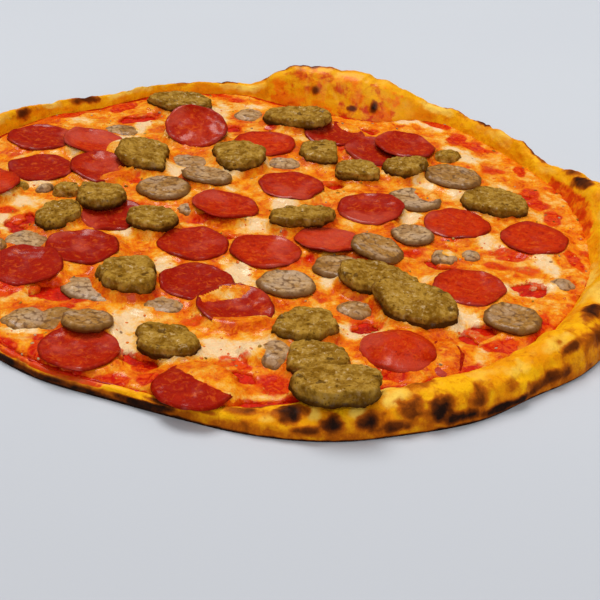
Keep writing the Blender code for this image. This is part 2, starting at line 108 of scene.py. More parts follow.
# Floury, paler places on the rim, in the same way
PALES = (
    (345, 0.12, 20, 0.10, 0.7),
    (352, 0.30, 16, 0.12, 0.6),
    (336, 0.26, 14, 0.12, 0.6),
    (317, 0.50, 12, 0.10, 0.60),
    (308, 0.56, 10, 0.10, 0.6),
    (302, 0.42, 10, 0.10, 0.5),
    (289, 0.50, 7, 0.10, 0.9),
    (283.5, 0.60, 5, 0.09, 0.8),
    (278, 0.56, 4, 0.10, 0.7),
    (272, 0.62, 4, 0.09, 0.6),
    (140, 0.36, 8, 0.14, 0.8),
    (122, 0.38, 20, 0.12, 0.9),
    (100, 0.30, 16, 0.12, 0.9),
    (155, 0.36, 16, 0.14, 0.7),
    (59, 0.36, 14, 0.12, 0.8),
    (45, 0.34, 16, 0.10, 0.5),
    (28, 0.30, 12, 0.10, 0.5),
    (200, 0.44, 20, 0.14, 0.5),
    (178, 0.40, 20, 0.14, 0.5),
)

# Where the cheese is thick and pale: x, y, half-length, half-width in mm, turn in degrees, strength
CREAM = (
    (-98, 95, 12, 5, 70, 1.0),
    (-92, 122, 18, 5, 80, 0.9),
    (-130, 120, 9, 6, 0, 0.7),
    (-125, 67, 7, 6, 0, 0.9),
    (-62, 55, 9, 8, 0, 1.0),
    (-47, 140, 26, 7, 85, 0.8),
    (-31, 50, 10, 6, 55, 0.8),
    (-9, 74, 6, 5, 0, 0.8),
    (-140, 25, 9, 8, 0, 1.0),
    (-157, 4, 10, 7, 80, 1.0),
    (-146, -32, 13, 7, 110, 1.0),
    (-137, -2, 12, 7, 0, 0.8),
    (112, 112, 14, 7, 125, 1.0),
    (78, 163, 8, 6, 0, 0.8),
    (94, 157, 11, 5, 145, 0.7),
    (70, 71, 10, 7, 0, 1.0),
    (85, 64, 9, 6, -30, 0.9),
    (107, 50, 13, 8, 70, 0.8),
    (4, 17, 9, 7, 60, 0.9),
    (76, 13, 8, 6, 60, 0.9),
    (149, 31, 8, 5, -40, 0.6),
    (-10, -11, 10, 7, 0, 0.8),
    (-15, -73, 15, 7, 120, 0.9),
    (-55, -68, 16, 6, 100, 0.7),
    (-64, -126, 14, 10, 75, 1.0),
    (-11, -143, 19, 10, 0, 1.0),
    (-35, -153, 14, 8, 30, 0.9),
    (-61, -148, 10, 8, 0, 0.8),
    (-116, -139, 12, 5, 0, 0.8),
    (45, -119, 15, 8, 10, 0.9),
    (99, -101, 12, 9, 100, 0.8),
    (134, -60, 17, 8, 25, 1.0),
    (121, -12, 11, 6, 130, 0.9),
    (150, -32, 15, 6, 100, 0.8),
    (85, -57, 10, 4, 55, 0.8),
    (31, -70, 9, 4, 80, 0.8),
    (107, -130, 9, 4, 80, 0.6),
    (31, -47, 8, 5, 90, 0.6),
    (-3, -108, 9, 6, 0, 0.6),
    (128, 8, 8, 5, 100, 0.5),
    (130, 74, 9, 5, 120, 0.6),
    (-28, 165, 9, 7, 0, 0.6),
    (10, 116, 6, 5, 0, 0.6),
    (-104, -36, 6, 9, 0, 0.3),
    (-83, -33, 5, 5, 0, 0.7),
    (-72, 108, 5, 8, 0, 0.4),
    (-122, -108, 12, 5, 60, 0.5),
)
# Where the cheese is thin and stained red by the sauce
RED = (
    (-108, 150, 12, 6, 55, 1.0),
    (-141, 131, 17, 5, 32, 1.0),
    (-50, 184, 10, 4, 0, 0.9),
    (-36, 177, 6, 5, 0, 0.8),
    (98, 163, 13, 6, -38, 1.0),
    (110, 139, 10, 6, 70, 1.0),
    (120, 129, 9, 5, -45, 1.0),
    (147, 96, 8, 4, 90, 0.9),
    (130, 92, 7, 6, 0, 0.7),
    (152, 46, 8, 7, 0, 0.8),
    (166, -23, 10, 4, 105, 1.0),
    (160, 30, 12, 6, 80, 0.9),
    (133, -24, 11, 5, 15, 0.8),
    (150, 62, 9, 6, 60, 0.8),
    (124, -20, 9, 5, 10, 0.7),
    (75, -31, 9, 5, 40, 0.8),
    (121, -36, 9, 5, 0, 0.7),
    (138, -38, 9, 6, 0, 0.6),
    (138, -98, 16, 4, 70, 1.0),
    (117, -121, 10, 6, 20, 1.0),
    (99, -146, 10, 4, 45, 1.0),
    (62, -156, 10, 4, 0, 1.0),
    (47, -96, 7, 5, 0, 1.0),
    (47, -108, 6, 4, 0, 0.6),
    (7, -172, 9, 10, 0, 0.8),
    (-120, -155, 9, 6, -40, 1.0),
    (-103, -158, 5, 10, 0, 1.0),
    (-83, -176, 6, 7, 0, 1.0),
    (-66, -178, 10, 5, 12, 1.0),
    (-49, -176, 6, 5, 0, 1.0),
    (-53, -165, 6, 5, 0, 0.9),
    (-29, -166, 8, 4, -30, 0.9),
    (-128, -97, 8, 13, 0, 1.0),
    (-112, -95, 8, 9, 0, 0.7),
    (-93, -104, 5, 9, 0, 0.7),
    (-149, -14, 8, 5, 0, 0.7),
    (-145, 24, 4, 3, 0, 0.7),
    (62, 7, 9, 4, 0, 0.7),
    (101, -9, 9, 4, 20, 0.8),
    (-86, 36, 6, 5, 0, 0.8),
    (11, -52, 7, 6, 0, 0.8),
    (-32, -7, 15, 4, 10, 0.9),
    (-45, -22, 6, 4, 0, 0.5),
    (-57, -100, 5, 4, 0, 0.6),
    (-33, -121, 8, 5, 0, 0.6),
    (-13, -155, 9, 6, 0, 0.6),
    (20, -52, 6, 5, 0, 0.6),
    (62, 84, 6, 3, 0, 0.9),
    (36, 108, 4, 10, 0, 0.8),
    (-143, 70, 10, 5, 0, 0.7),
    (-165, 88, 6, 10, 0, 0.8),
    (92, -150, 8, 6, 30, 0.6),
    (-10, 132, 10, 6, 0, 0.3),
)

# Where the cheese lies over a slice: the slice, x, y, half-length, half-width in mm, turn in degrees,
# and how pale
DRAPES = (
    ("pepperoni_26", -17, -156, 40, 23, -41, 0.0),
    ("pepperoni_26", -2, -184, 11, 12, 0, 0.10),
    ("pepperoni_17", -27, -88, 30, 15, 31, 0.0),
    ("pepperoni_17", -6, -125, 24, 9, 13, -0.2),
    ("pepperoni_bit_22", 90, -135, 6, 17, 0, -0.2),
    ("sausage_slice_04", 88, 44, 8, 11, 20, 0.05),
    ("sausage_bit_06", 97, -28, 5, 6, 0, 0.2),
    ("pepperoni_05", -92, 34, 12, 10, 30, -0.1),
    ("pepperoni_02", -98, 76, 9, 14, 0, 0.0),
    ("pepperoni_07", 44, 141, 12, 10, -40, -0.1),
)
# Where sauce and oil have crept up the rim: bearing, half-angle in degrees, how far as a share, and how red
SMEARS = (
    (80, 17, 0.60, 0.80),
    (14, 15, 0.42, 0.93),
    (275, 12, 0.22, 0.80),
    (254, 14, 0.40, 0.90),
    (234, 20, 0.95, 1.0),
    (183, 10, 0.2, 0.80),
)

# Bits half sunk in the cheese: kind, x, y, length, width in mm, turn in degrees
BITS = (
    ("sausage", -103, 108, 24, 20, 0),
    ("sausage", -25, 149, 21, 25, 0),
    ("sausage", -56, 67, 26, 23, 10),
    ("sausage", -47, 2, 19, 17, 0),
    ("sausage", 1, 76, 26, 18, 0),
    ("sausage", 94, -34, 16, 16, 0),
    ("sausage", 109, -30, 12, 11, 40),
    ("sausage", 156, -54, 15, 14, 0),
    ("sausage", -88, -98, 38, 22, -30),
    ("sausage", -53, -108, 33, 22, 0),
    ("sausage", -114, -133, 25, 22, 40),
    ("sausage", -97, -131, 27, 27, 0),
    ("sausage", -130, -51, 25, 26, 30),
    ("sausage", 8, -149, 19, 27, 0),
    ("sausage", 46, -99, 20, 18, 0),
    ("sausage", -133, 13, 13, 9, 60),
    ("meatball", -120, 12, 18, 15, 30),
    ("meatball", 103, 104, 20, 15, 40),
    ("sausage", -146, -60, 15, 13, 0),
    ("meatball", -148, 12, 14, 10, 20),
    ("sausage", -149, -84, 28, 26, 0),
    ("pepperoni", 82, -137, 37, 37, 0),
)


# Noise


def cell_value(cells, seed):
    """A fixed pseudo-random number from -1 to 1 for each whole-numbered cell."""
    mixed = (cells[..., 0] * 73856093) ^ (cells[..., 1] * 19349663) ^ (cells[..., 2] * 83492791)
    mixed = (mixed ^ (seed * 1013904223)) & 0xFFFFFFFF
    mixed = ((mixed ^ (mixed >> 15)) * 1274126177) & 0xFFFFFFFF
    mixed = ((mixed ^ (mixed >> 13)) * 1103515245) & 0xFFFFFFFF
    return ((mixed >> 8) & 0xFFFF) / 32767.5 - 1


def swell(points, span, seed):
    """Smooth noise of about -1 to 1 that changes over span."""
    place = points / span + 13.7 * seed
    cells = np.floor(place).astype(np.int64)
    inside = place - cells
    fade = inside**3 * (inside * (inside * 6 - 15) + 10)
    total = np.zeros(points.shape[:-1])
    for corner in np.ndindex(2, 2, 2):
        near = cells + corner
        slope = np.stack([cell_value(near, seed + k) for k in (1, 2, 3)], -1)
        weight = np.prod(np.where(np.array(corner) > 0, fade, 1 - fade), -1)
        total += weight * (slope * (inside - corner)).sum(-1)
    return 1.5 * total


def rough(points, span, seed, octaves=3):
    return sum(swell(points, span / 2**k, seed + 10 * k) / 2**k for k in range(octaves)) / 1.4


def cells_around(points, span, seed):
    """Distance to the nearest scattered seed point, in spans, and that seed's own number from 0 to 1."""
    place = points / span + 7.3 * seed
    base = np.floor(place).astype(np.int64)
    nearest = np.full(points.shape[:-1], 9.0)
    own = np.zeros(points.shape[:-1])
    for step in np.ndindex(3, 3, 3):
        cell = base + np.array(step) - 1
        spot = cell + 0.5 + 0.42 * np.stack([cell_value(cell, seed + k) for k in (1, 2, 3)], -1)
        away = np.sqrt(((place - spot) ** 2).sum(-1))
        closer = away < nearest
        nearest = np.where(closer, away, nearest)
        own = np.where(closer, 0.5 + 0.5 * cell_value(cell, seed + 4), own)
    return nearest, own


def smooth_step(low, high, value):
    share = np.clip((value - low) / (high - low), 0, 1)
    return share * share * (3 - 2 * share)


# Meshes on rings


def cad_points(node):
    """The corner points of a CAD node, each once, and its triangles."""
    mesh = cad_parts[node].data
    corners = np.empty(3 * len(mesh.vertices))
    mesh.vertices.foreach_get("co", corners)
    mesh.calc_loop_triangles()
    faces = np.empty(3 * len(mesh.loop_triangles), int)
    mesh.loop_triangles.foreach_get("vertices", faces)
    points, index = np.unique(np.round(corners.reshape(-1, 3), 6), axis=0, return_inverse=True)
    return points, index.reshape(-1)[faces.reshape(-1, 3)]


def slice_rings(node):
    """A slice's top middle, its rings from there to its foot (bearing, ring, xyz), and its bottom middle."""
    points, faces = cad_points(node)
    links = [set() for _ in points]
    for a, b, c in faces:
        links[a] |= {b, c}
        links[b] |= {a, c}
        links[c] |= {a, b}
    middle = points.mean(0)
    hubs = [i for i in range(len(points)) if math.dist(points[i, :2], middle[:2]) < 4 * MM]
    top = max(hubs, key=lambda i: points[i, 2])
    rings, seen, front = [], {top}, set(links[top])
    step = 2 * math.pi / len(front)

    def bearing(i):
        x, y = points[i, :2] - points[top, :2]
        return (math.atan2(y, x) + 0.5 * step) % (2 * math.pi)

    while len(front) > 1:
        rings.append(points[sorted(front, key=bearing)])
        seen |= front
        front = set().union(*(links[i] for i in front)) - seen
    bottom = points[front.pop()] if front else rings[-1].mean(0)
    return points[top], np.array(rings).transpose(1, 0, 2), bottom


def rim_rings(node, meridians, count):
    """The rings of a piece turned about the pizza's axis (bearing, ring, xyz), from inner to outer foot."""
    points, _ = cad_points(node)
    away = points[:, :2] - AXIS
    bearing = np.arctan2(away[:, 1], away[:, 0])
    meridian = np.round(bearing / (2 * math.pi) * meridians).astype(int) % meridians
    radius = np.hypot(away[:, 0], away[:, 1])
    foot = points[:, 2] < 0.01 * MM
    order = np.lexsort((radius + 1.0 * foot, meridian))
    return points[order].reshape(meridians, count, 3)


def round_curve(rows, count):
    """Points evenly spaced on a smooth closed curve through the rows."""
    total = len(rows)
    place = np.arange(count) * total / count
    first = np.floor(place).astype(int)
    t = (place - first).reshape((-1,) + (1,) * (rows.ndim - 1))
    a, b, c, d = (rows[(first + k) % total] for k in (-1, 0, 1, 2))
    return b + 0.5 * t * (c - a + t * (2 * a - 5 * b + 4 * c - d + t * (3 * (b - c) + d - a)))


def along_section(grid, count):
    """The same section with count points, evenly spaced on its mean length."""
    steps = np.linalg.norm(np.diff(grid, axis=1), axis=-1).mean(0)
    reach = np.concatenate([[0], np.cumsum(steps)])
    place = np.interp(np.linspace(0, reach[-1], count), reach, np.arange(len(reach)))
    first = np.minimum(place.astype(int), len(reach) - 2)
    t = (place - first)[None, :, None]
    return grid[:, first] * (1 - t) + grid[:, first + 1] * t


def softened(grid, times):
    """Rounds the section's corners, with its ends held."""
    grid = grid.copy()
    for _ in range(times):
        grid[:, 1:-1] = 0.25 * grid[:, :-2] + 0.5 * grid[:, 1:-1] + 0.25 * grid[:, 2:]
    return grid


def outward(grid):
    """The outward direction at each point of a (bearing, section) grid."""
    along = np.gradient(grid, axis=1)
    around = np.roll(grid, -1, 0) - np.roll(grid, 1, 0)
    normal = np.cross(along, around)
    return normal / np.maximum(np.linalg.norm(normal, axis=-1, keepdims=True), 1e-12)


def mesh_of(name, points, faces, marks):
    """A smooth mesh, with one number per point under each mark's name."""
    mesh = bpy.data.meshes.new(name)
    mesh.from_pydata(points.tolist(), [], faces)
    for mark, values in marks.items():
        layer = mesh.attributes.new(mark, "FLOAT", "POINT")
        layer.data.foreach_set("value", np.asarray(values, np.float32).reshape(-1))
    mesh.shade_smooth()
    return mesh


def ring_mesh(name, grid, top, bottom, marks):
    """A closed mesh from a (bearing, section) grid and a middle point at each end."""
    around, across = grid.shape[:2]
    s, k = np.meshgrid(np.arange(around), np.arange(across - 1), indexing="ij")
    here, beyond = s * across + k, (s + 1) % around * across + k
    faces = np.stack([here, here + 1, beyond + 1, beyond], -1).reshape(-1, 4).tolist()
    ring = np.arange(around) * across
    turned = np.roll(ring, -1)
    last = across - 1
    hub = np.full(around, around * across)
    faces += np.stack([hub, ring, turned], -1).tolist()
    faces += np.stack([turned + last, ring + last, hub + 1], -1).tolist()
    points = np.concatenate([grid.reshape(-1, 3), [top, bottom]])
    ended = {
        mark: np.concatenate([values.reshape(-1), [values[:, 0].mean(), values[:, -1].mean()]])
        for mark, values in marks.items()
    }
    return mesh_of(name, points, faces, ended)


def linked(name, data):
    """A new object in the scene."""
    made = bpy.data.objects.new(name, data)
    bpy.context.scene.collection.objects.link(made)
    return made


def add_piece(name, mesh, material, slot, *nodes):
    """Shows a mesh in place of its CAD nodes."""
    piece = linked(name, mesh)
    mesh.materials.append(material)
    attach(piece, "root")
    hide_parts(*nodes)


# Materials


def colour(red, green, blue):
    """A linear colour from the 0 to 255 values of a screen."""
    return tuple(
        part / 12.92 if part <= 0.04045 else ((part + 0.055) / 1.055) ** 2.4
        for part in (red / 255, green / 255, blue / 255)
    ) + (1.0,)


def new_node(tree, kind, settings=None, inputs=None):
    """A new node's outputs. Its inputs are given as values, or as sockets to join them to."""
    made = tree.nodes.new(kind)
    for key, value in (settings or {}).items():
        setattr(made, key, value)
    for key, value in (inputs or {}).items():
        if isinstance(value, bpy.types.NodeSocket):
            tree.links.new(value, made.inputs[key])
        else:
            made.inputs[key].default_value = value
    return made.outputs


class Wire:
    """A shader socket that takes part in sums."""

    def __init__(self, recipe, socket):
        self.recipe = recipe
        self.socket = socket

    def joined(self, operation, other):
        return self.recipe.node("ShaderNodeMath", {"operation": operation}, {0: self, 1: other})

    def __add__(self, other):
        return self.joined("ADD", other)

    def __sub__(self, other):
        return self.joined("SUBTRACT", other)

    def __mul__(self, other):
        return self.joined("MULTIPLY", other)

    __rmul__ = __mul__


class Recipe:
    """One food's material, made from nodes."""

    def __init__(self, name):
        self.material = bpy.data.materials.new(name)
        self.material.use_nodes = True
        self.tree = self.material.node_tree
        self.tree.nodes.clear()
        self.place = self.node("ShaderNodeTexCoord", output="Object")

    def node(self, kind, settings=None, inputs=None, output=0):
        sockets = {
            key: value.socket if isinstance(value, Wire) else value for key, value in (inputs or {}).items()
        }
        return Wire(self, new_node(self.tree, kind, settings, sockets)[output])

    def mark(self, name):
        return self.node("ShaderNodeAttribute", {"attribute_name": name}, output="Fac")

    def grain(self, span, detail=3.0, roughness=0.55, warp=0.0):
        """Noise from 0 to 1 that changes over span."""
        inputs = {"Vector": self.place, "Scale": 1 / span, "Detail": detail, "Roughness": roughness}
        return self.node("ShaderNodeTexNoise", None, inputs | {"Distortion": warp}, "Fac")

    def crumbs(self, span):
        """Distance to the nearest of scattered points, in spans."""
        return self.node("ShaderNodeTexVoronoi", None, {"Vector": self.place, "Scale": 1 / span}, "Distance")

    def step(self, value, low, high, start=0.0, end=1.0):
        """A soft step from start to end as the value goes from low to high."""
        inputs = {"Value": value, "From Min": low, "From Max": high, "To Min": start, "To Max": end}
        return self.node("ShaderNodeMapRange", {"interpolation_type": "SMOOTHSTEP"}, inputs)

    def mix(self, share, low, high):
        """A colour that goes from low to high with the share."""
        return self.node("ShaderNodeMix", {"data_type": "RGBA"}, {0: share, 6: low, 7: high}, 2)

    def over(self, base, *layers):
        """The base under layers, each given as how much of it shows where, and its colour on a screen."""
        for share, tint in layers:
            base = self.mix(share, base, colour(*tint))
        return base

    def bump(self, height, depth):
        return self.node("ShaderNodeBump", None, {"Height": height, "Distance": depth, "Strength": 1.0})

    def finish(self, base, **sockets):
        inputs = {"Base Color": base, "Specular IOR Level": 0.03}
        inputs |= {key.replace("_", " "): value for key, value in sockets.items()}
        shader = self.node("ShaderNodeBsdfPrincipled", None, inputs)
        new_node(self.tree, "ShaderNodeOutputMaterial", None, {"Surface": shader.socket})
        return self.material


def baked_crust():
    r = Recipe("baked_crust")
    char_and_shade, pale, stain, under = (r.mark(name) for name in ("char_and_shade", "pale", "stain", "under"))
    broad = r.grain(15 * MM, 3, 0.6)
    fine = r.grain(3.4 * MM, 4, 0.6, 0.5)
    speck = r.grain(1.1 * MM, 3, 0.65)
    dough = r.over(
        colour(253, 184, 14),
        (r.step(broad, 0.34, 0.66), (242, 150, 7)),
        (r.step(fine, 0.50, 0.68, 0, 0.45), (222, 118, 5)),
        # pale: floury places, and a painted highlight along the rim's crown
        (r.step(pale + 0.5 * (fine - 0.5), 0.15, 0.95), (254, 210, 88)),
        (r.step(speck, 0.60, 0.78, 0, 0.25), (206, 108, 10)),
    )
    below = r.over(
        colour(214, 160, 92),
        (r.step(broad, 0.35, 0.65), (178, 108, 48)),
        (r.step(r.grain(9 * MM, 3, 0.7), 0.52, 0.68, 0, 0.85), (70, 38, 20)),
    )
    redder = 1.2 * (stain - 0.80)
    smeared = r.over(
        colour(255, 180, 10),
        (r.step(broad + 0.4 * (fine - 0.5) + redder, 0.38, 0.64), (254, 130, 4)),
        (r.step(r.grain(8 * MM, 3, 0.6, 0.3) + redder, 0.48, 0.72), (216, 60, 3)),
    )
    dough = r.mix(under, dough, below)
    dough = r.mix(r.step(stain + 0.6 * (fine - 0.5), 0.25, 0.7), dough, smeared)
    # Darker with the char, and with painted shade down the outer side and in the folds and creases
    char_and_shade_level = char_and_shade + 0.36 * (fine - 0.5) + 0.26 * (broad - 0.5) + 0.16 * (speck - 0.5)
    dough = r.over(
        dough,
        (r.step(char_and_shade_level, 0.10, 0.46), (190, 96, 8)),
        (r.step(char_and_shade_level, 0.34, 0.74), (104, 46, 8)),
        (r.step(char_and_shade_level, 0.70, 1.04), (34, 18, 12)),
    )
    return r.finish(
        dough,
        Roughness=r.step(char_and_shade_level - 0.5 * stain, 0.1, 0.8, 0.46, 0.75),
        Normal=r.bump(0.6 * fine + 0.4 * speck, 1.1 * MM),
        Coat_Weight=r.step(stain, 0.1, 0.8, 0.02, 0.25),
        Coat_Roughness=0.3,
    )


def tomato_sauce():
    r = Recipe("tomato_sauce")
    broad = r.grain(8 * MM, 4, 0.6)
    fine = r.grain(1.8 * MM, 3, 0.6)
    red = r.over(
        colour(164, 10, 0),
        (r.step(broad, 0.35, 0.65), (212, 32, 2)),
        (r.step(fine, 0.52, 0.75, 0, 0.7), (236, 92, 8)),
    )
    return r.finish(
        red,
        Roughness=r.step(fine, 0.3, 0.7, 0.25, 0.45),
        Normal=r.bump(0.5 * broad + 0.5 * fine, 1.6 * MM),
        Coat_Weight=0.22,
        Coat_Roughness=0.15,
    )


def melted_cheese():
    r = Recipe("melted_cheese")
    cream, red, brown = (r.mark(name) for name in ("cream", "red", "brown"))
    broad = r.grain(12 * MM, 3, 0.6, 0.5)
    fine = r.grain(4.2 * MM, 4, 0.64, 1.2)
    vein = r.grain(8 * MM, 4, 0.60, 0.8)
    speck = r.grain(1.3 * MM, 3, 0.65)
    rich = cream + 0.05 + (fine - 0.5) + 0.4 * (broad - 0.5) + 0.3 * (speck - 0.5)
    thread = r.step(vein, 0.42, 0.50) * r.step(vein, 0.58, 0.50) * r.step(rich, 0.7, 0.3, 0.12, 0.6)
    base = r.over(
        colour(206, 66, 4),
        (r.step(rich, -0.05, 0.18), (238, 122, 8)),
        (r.step(rich, 0.14, 0.38), (246, 158, 24)),
        (r.step(rich, 0.34, 0.60), (247, 184, 84)),
        (r.step(rich, 0.56, 0.92), (246, 211, 160)),
        (thread, (232, 104, 12)),
    )
    stained = r.over(colour(198, 18, 1), (r.step(fine, 0.40, 0.62), (230, 78, 6)))
    base = r.mix(r.step(red + (fine - 0.5) + 0.25 * (speck - 0.5), 0.28, 0.66), base, stained)
    base = r.over(base, (r.step(brown + 0.4 * (speck - 0.5), 0.5, 0.9, 0, 0.75), (140, 66, 12)))
    return r.finish(
        base,
        Roughness=r.step(rich, 0.1, 0.8, 0.30, 0.42),
        Normal=r.bump(0.65 * fine + 0.35 * speck, 1.5 * MM),
        Coat_Weight=r.step(vein, 0.46, 0.62, 0.0, 0.45),
        Coat_Roughness=0.14,
        Subsurface_Weight=0.08,
        Subsurface_Radius=(0.004, 0.002, 0.001),
    )


def cured_pepperoni():
    r = Recipe("cured_pepperoni")
    rim, under, tone = r.mark("rim"), r.mark("under"), r.mark("tone")
    patch = r.grain(10 * MM, 3, 0.55, 0.4)
    marble = r.grain(3.4 * MM, 4, 0.66, 0.8)
    speck = r.grain(0.9 * MM, 2, 0.6)
    sheen = r.grain(25 * MM, 2, 0.5, 0.3) + 0.12 * (patch - 0.5)
    wet = r.grain(11 * MM, 3, 0.6) + 0.6 * (sheen - 0.5)
    edge = rim + 0.22 * (patch - 0.5)
    meat = r.over(
        colour(156, 20, 1),
        (r.step(tone + 1.1 * (patch - 0.5), -0.05, 1.05), (198, 46, 2)),
        (r.step(marble, 0.50, 0.68, 0, 0.50), (224, 96, 20)),
        (r.step(marble, 0.32, 0.47, 0.70, 0), (146, 12, 1)),
        (r.step(speck, 0.57, 0.74, 0, 0.6), (120, 10, 1)),
        (r.step(edge, 0.74, 0.90, 0, 0.45), (150, 16, 2)),
        (r.step(edge, 0.92, 1.0, 0, 0.7), (112, 14, 4)),
        # Painted sheen: broad pinkish patches tinted into the base colour
        (r.step(sheen, 0.52, 0.66, 0, 0.42), (208, 80, 56)),
        (under, (140, 20, 4)),
    )
    return r.finish(
        meat,
        Roughness=r.step(patch, 0.3, 0.7, 0.34, 0.50),
        Normal=r.bump(0.6 * marble + 0.4 * speck, 0.8 * MM),
        Coat_Weight=r.step(wet, 0.46, 0.66, 0.0, 0.48),
        Coat_Roughness=0.2,
    )


def cooked_sausage():
    r = Recipe("cooked_sausage")
    rim, under, tone = r.mark("rim"), r.mark("under"), r.mark("tone")
    broad = r.grain(9 * MM, 3, 0.6, 0.6)
    chunk = r.crumbs(2.6 * MM)
    fine = r.grain(3.0 * MM, 4, 0.66, 0.2)
    grey = r.grain(13 * MM, 2, 0.5, 0.5)
    meat = r.over(
        colour(194, 156, 112),
        (r.step(broad + 0.3 * (tone - 0.5), 0.38, 0.62), (168, 118, 50)),
        (r.step(fine, 0.50, 0.66, 0, 0.60), (212, 178, 136)),
        (r.step(fine, 0.32, 0.47, 0.60, 0.0), (118, 80, 40)),
        (r.step(grey, 0.50, 0.62, 0, 0.50), (178, 150, 126)),
        (r.step(grey, 0.48, 0.36, 0, 0.50), (142, 92, 28)),
        (r.step(r.grain(4.5 * MM, 3, 0.65, 0.4), 0.53, 0.68, 0, 0.50), (108, 78, 38)),
        (r.step(chunk + 0.6 * (fine - 0.5), 0.54, 0.84, 0, 0.75), (92, 56, 26)),
        (r.step(rim + 0.14 * (broad - 0.5), 0.80, 0.95, 0, 0.85), (112, 72, 26)),
        (under, (104, 60, 24)),
    )
    return r.finish(
        meat,
        Roughness=r.step(fine, 0.3, 0.7, 0.34, 0.56),
        Normal=r.bump(0.3 * chunk + 0.7 * fine, 0.8 * MM),
        Coat_Weight=r.step(broad, 0.42, 0.62, 0.05, 0.45),
        Coat_Roughness=0.2,
    )


def browned_meatball():
    r = Recipe("browned_meatball")
    rim, under, pit = r.mark("rim"), r.mark("under"), r.mark("pit")
    broad = r.grain(8 * MM, 4, 0.64, 0.4)
    grain = r.grain(2.6 * MM, 5, 0.70, 0.1)
    speck = r.crumbs(2.3 * MM)
    edge = rim + 0.5 * (broad - 0.5) + 0.3 * (grain - 0.5)
    low_shade = under + 0.8 * (broad - 0.5) + 0.4 * (grain - 0.5)
    meat = r.over(
        colour(178, 134, 48),
        (r.step(broad, 0.38, 0.62), (134, 92, 14)),
        (r.step(grain, 0.49, 0.64, 0, 0.60), (198, 158, 82)),
        (r.step(grain, 0.34, 0.48, 0.60, 0.0), (104, 68, 8)),
        (r.step(speck + 0.5 * (grain - 0.5), 0.24, 0.08, 0, 0.75), (74, 46, 6)),
        (r.step(edge, 0.84, 1.06, 0, 0.6), (96, 58, 8)),
        # Painted shade in the pits
        (r.step(pit + 0.3 * (grain - 0.5), 0.3, 0.8, 0, 0.7), (74, 44, 8)),
        # Painted shade: darker towards the bottom of the slice
        (r.step(low_shade, 0.28, 0.78, 0, 0.90), (62, 32, 4)),
    )
    return r.finish(
        meat,
        Roughness=r.step(grain, 0.3, 0.7, 0.50, 0.68),
        Normal=r.bump(0.7 * grain + 0.3 * speck, 1.4 * MM),
        Coat_Weight=r.step(grain, 0.50, 0.64, 0.0, 0.40),
        Coat_Roughness=0.2,
    )


FINISHES = {
    "pepperoni": cured_pepperoni(),
    "sausage": cooked_sausage(),
    "meatball": browned_meatball(),
}


# Crust and sauce

CRUST_AROUND = 960
CRUST_ACROSS = 68
RIM_REACH = 200 * MM  # the rim's mean radius, for the spacing of its folds
FOLD_SPACING = 15 * MM
SAUCE_AROUND = 480
SAUCE_REACH = 1.018  # how far the sauce goes, as a share of the way to the rim's foot


def turned_from(bearing, degrees):
    """The angle from a bearing given in degrees, from minus to plus half a turn."""
    return (bearing - math.radians(degrees) + math.pi) % (2 * math.pi) - math.pi


def rim_spots(rows, bearing, share, reach, rag):
    """How far each of the rim's points lies in the listed places, from 0 to 1."""
    total = np.zeros(bearing.shape)
    for degrees, middle, half_length, half_width, strength in rows:
        along = turned_from(bearing, degrees) * reach / (half_length * MM)
        away = np.hypot(along, (share - middle) / half_width)
        total = np.maximum(total, strength * smooth_step(1.6, 0.25, away + 0.8 * rag))
    return total


def puffed(grid, bearing, share, char_and_shade):
    """The rim with its puffs, blisters, creases and folds, and where the last three are."""
    free = smooth_step(0.02, 0.12, share) * smooth_step(0.99, 0.86, share)
    thin = np.clip(grid[..., 2].max(1, keepdims=True) / (14 * MM), 0.35, 1)
    puff_away, puff_own = cells_around(grid, 15 * MM, 5)
    puff = np.clip(1 - (puff_away / 0.55) ** 2, 0, 1) * np.clip(puff_own - 0.35, 0, 1)
    blister_away, blister_own = cells_around(grid, 6.5 * MM, 9)
    blister = np.clip(1 - (blister_away / 0.42) ** 2, 0, 1) * (blister_own > 0.62)
    crease = (1 - np.abs(swell(grid * (1, 1, 0.5), 19 * MM, 12))) ** 8
    fold_place = np.stack([bearing * RIM_REACH / FOLD_SPACING, 0.8 * share, 0 * share], -1)
    fold = (1 - np.abs(swell(fold_place, 1.0, 13))) ** 7 * smooth_step(0.1, 0.5, share)
    lift = 1.5 * puff + 0.6 * blister * (0.4 + char_and_shade) - 0.45 * crease - fold + 0.9 * char_and_shade * (share < 0.85)
    lift = lift + 0.75 * swell(grid, 9 * MM, 21) + 0.38 * swell(grid, 4 * MM, 22)
    lift = lift + 0.16 * swell(grid, 1.9 * MM, 23)
    grid = grid + (lift * free * thin * MM)[..., None] * outward(grid)
    grid[..., 2] = np.maximum(grid[..., 2], 0)
    return grid, blister, crease, fold


def crept(bearing, share, rag):
    """How far sauce and oil have stained each of the rim's points, from 0 to 1."""
    stain = smooth_step(0.10, 0.01, share + 0.05 * rag)
    for degrees, half, deep, redness in SMEARS:
        turn = np.abs(turned_from(bearing, degrees)) / math.radians(half)
        along = smooth_step(1.1, 0.7, turn + 0.25 * rag)
        stain = np.maximum(stain, redness * along * smooth_step(deep, deep - 0.26, share + 0.05 * rag))
    return stain


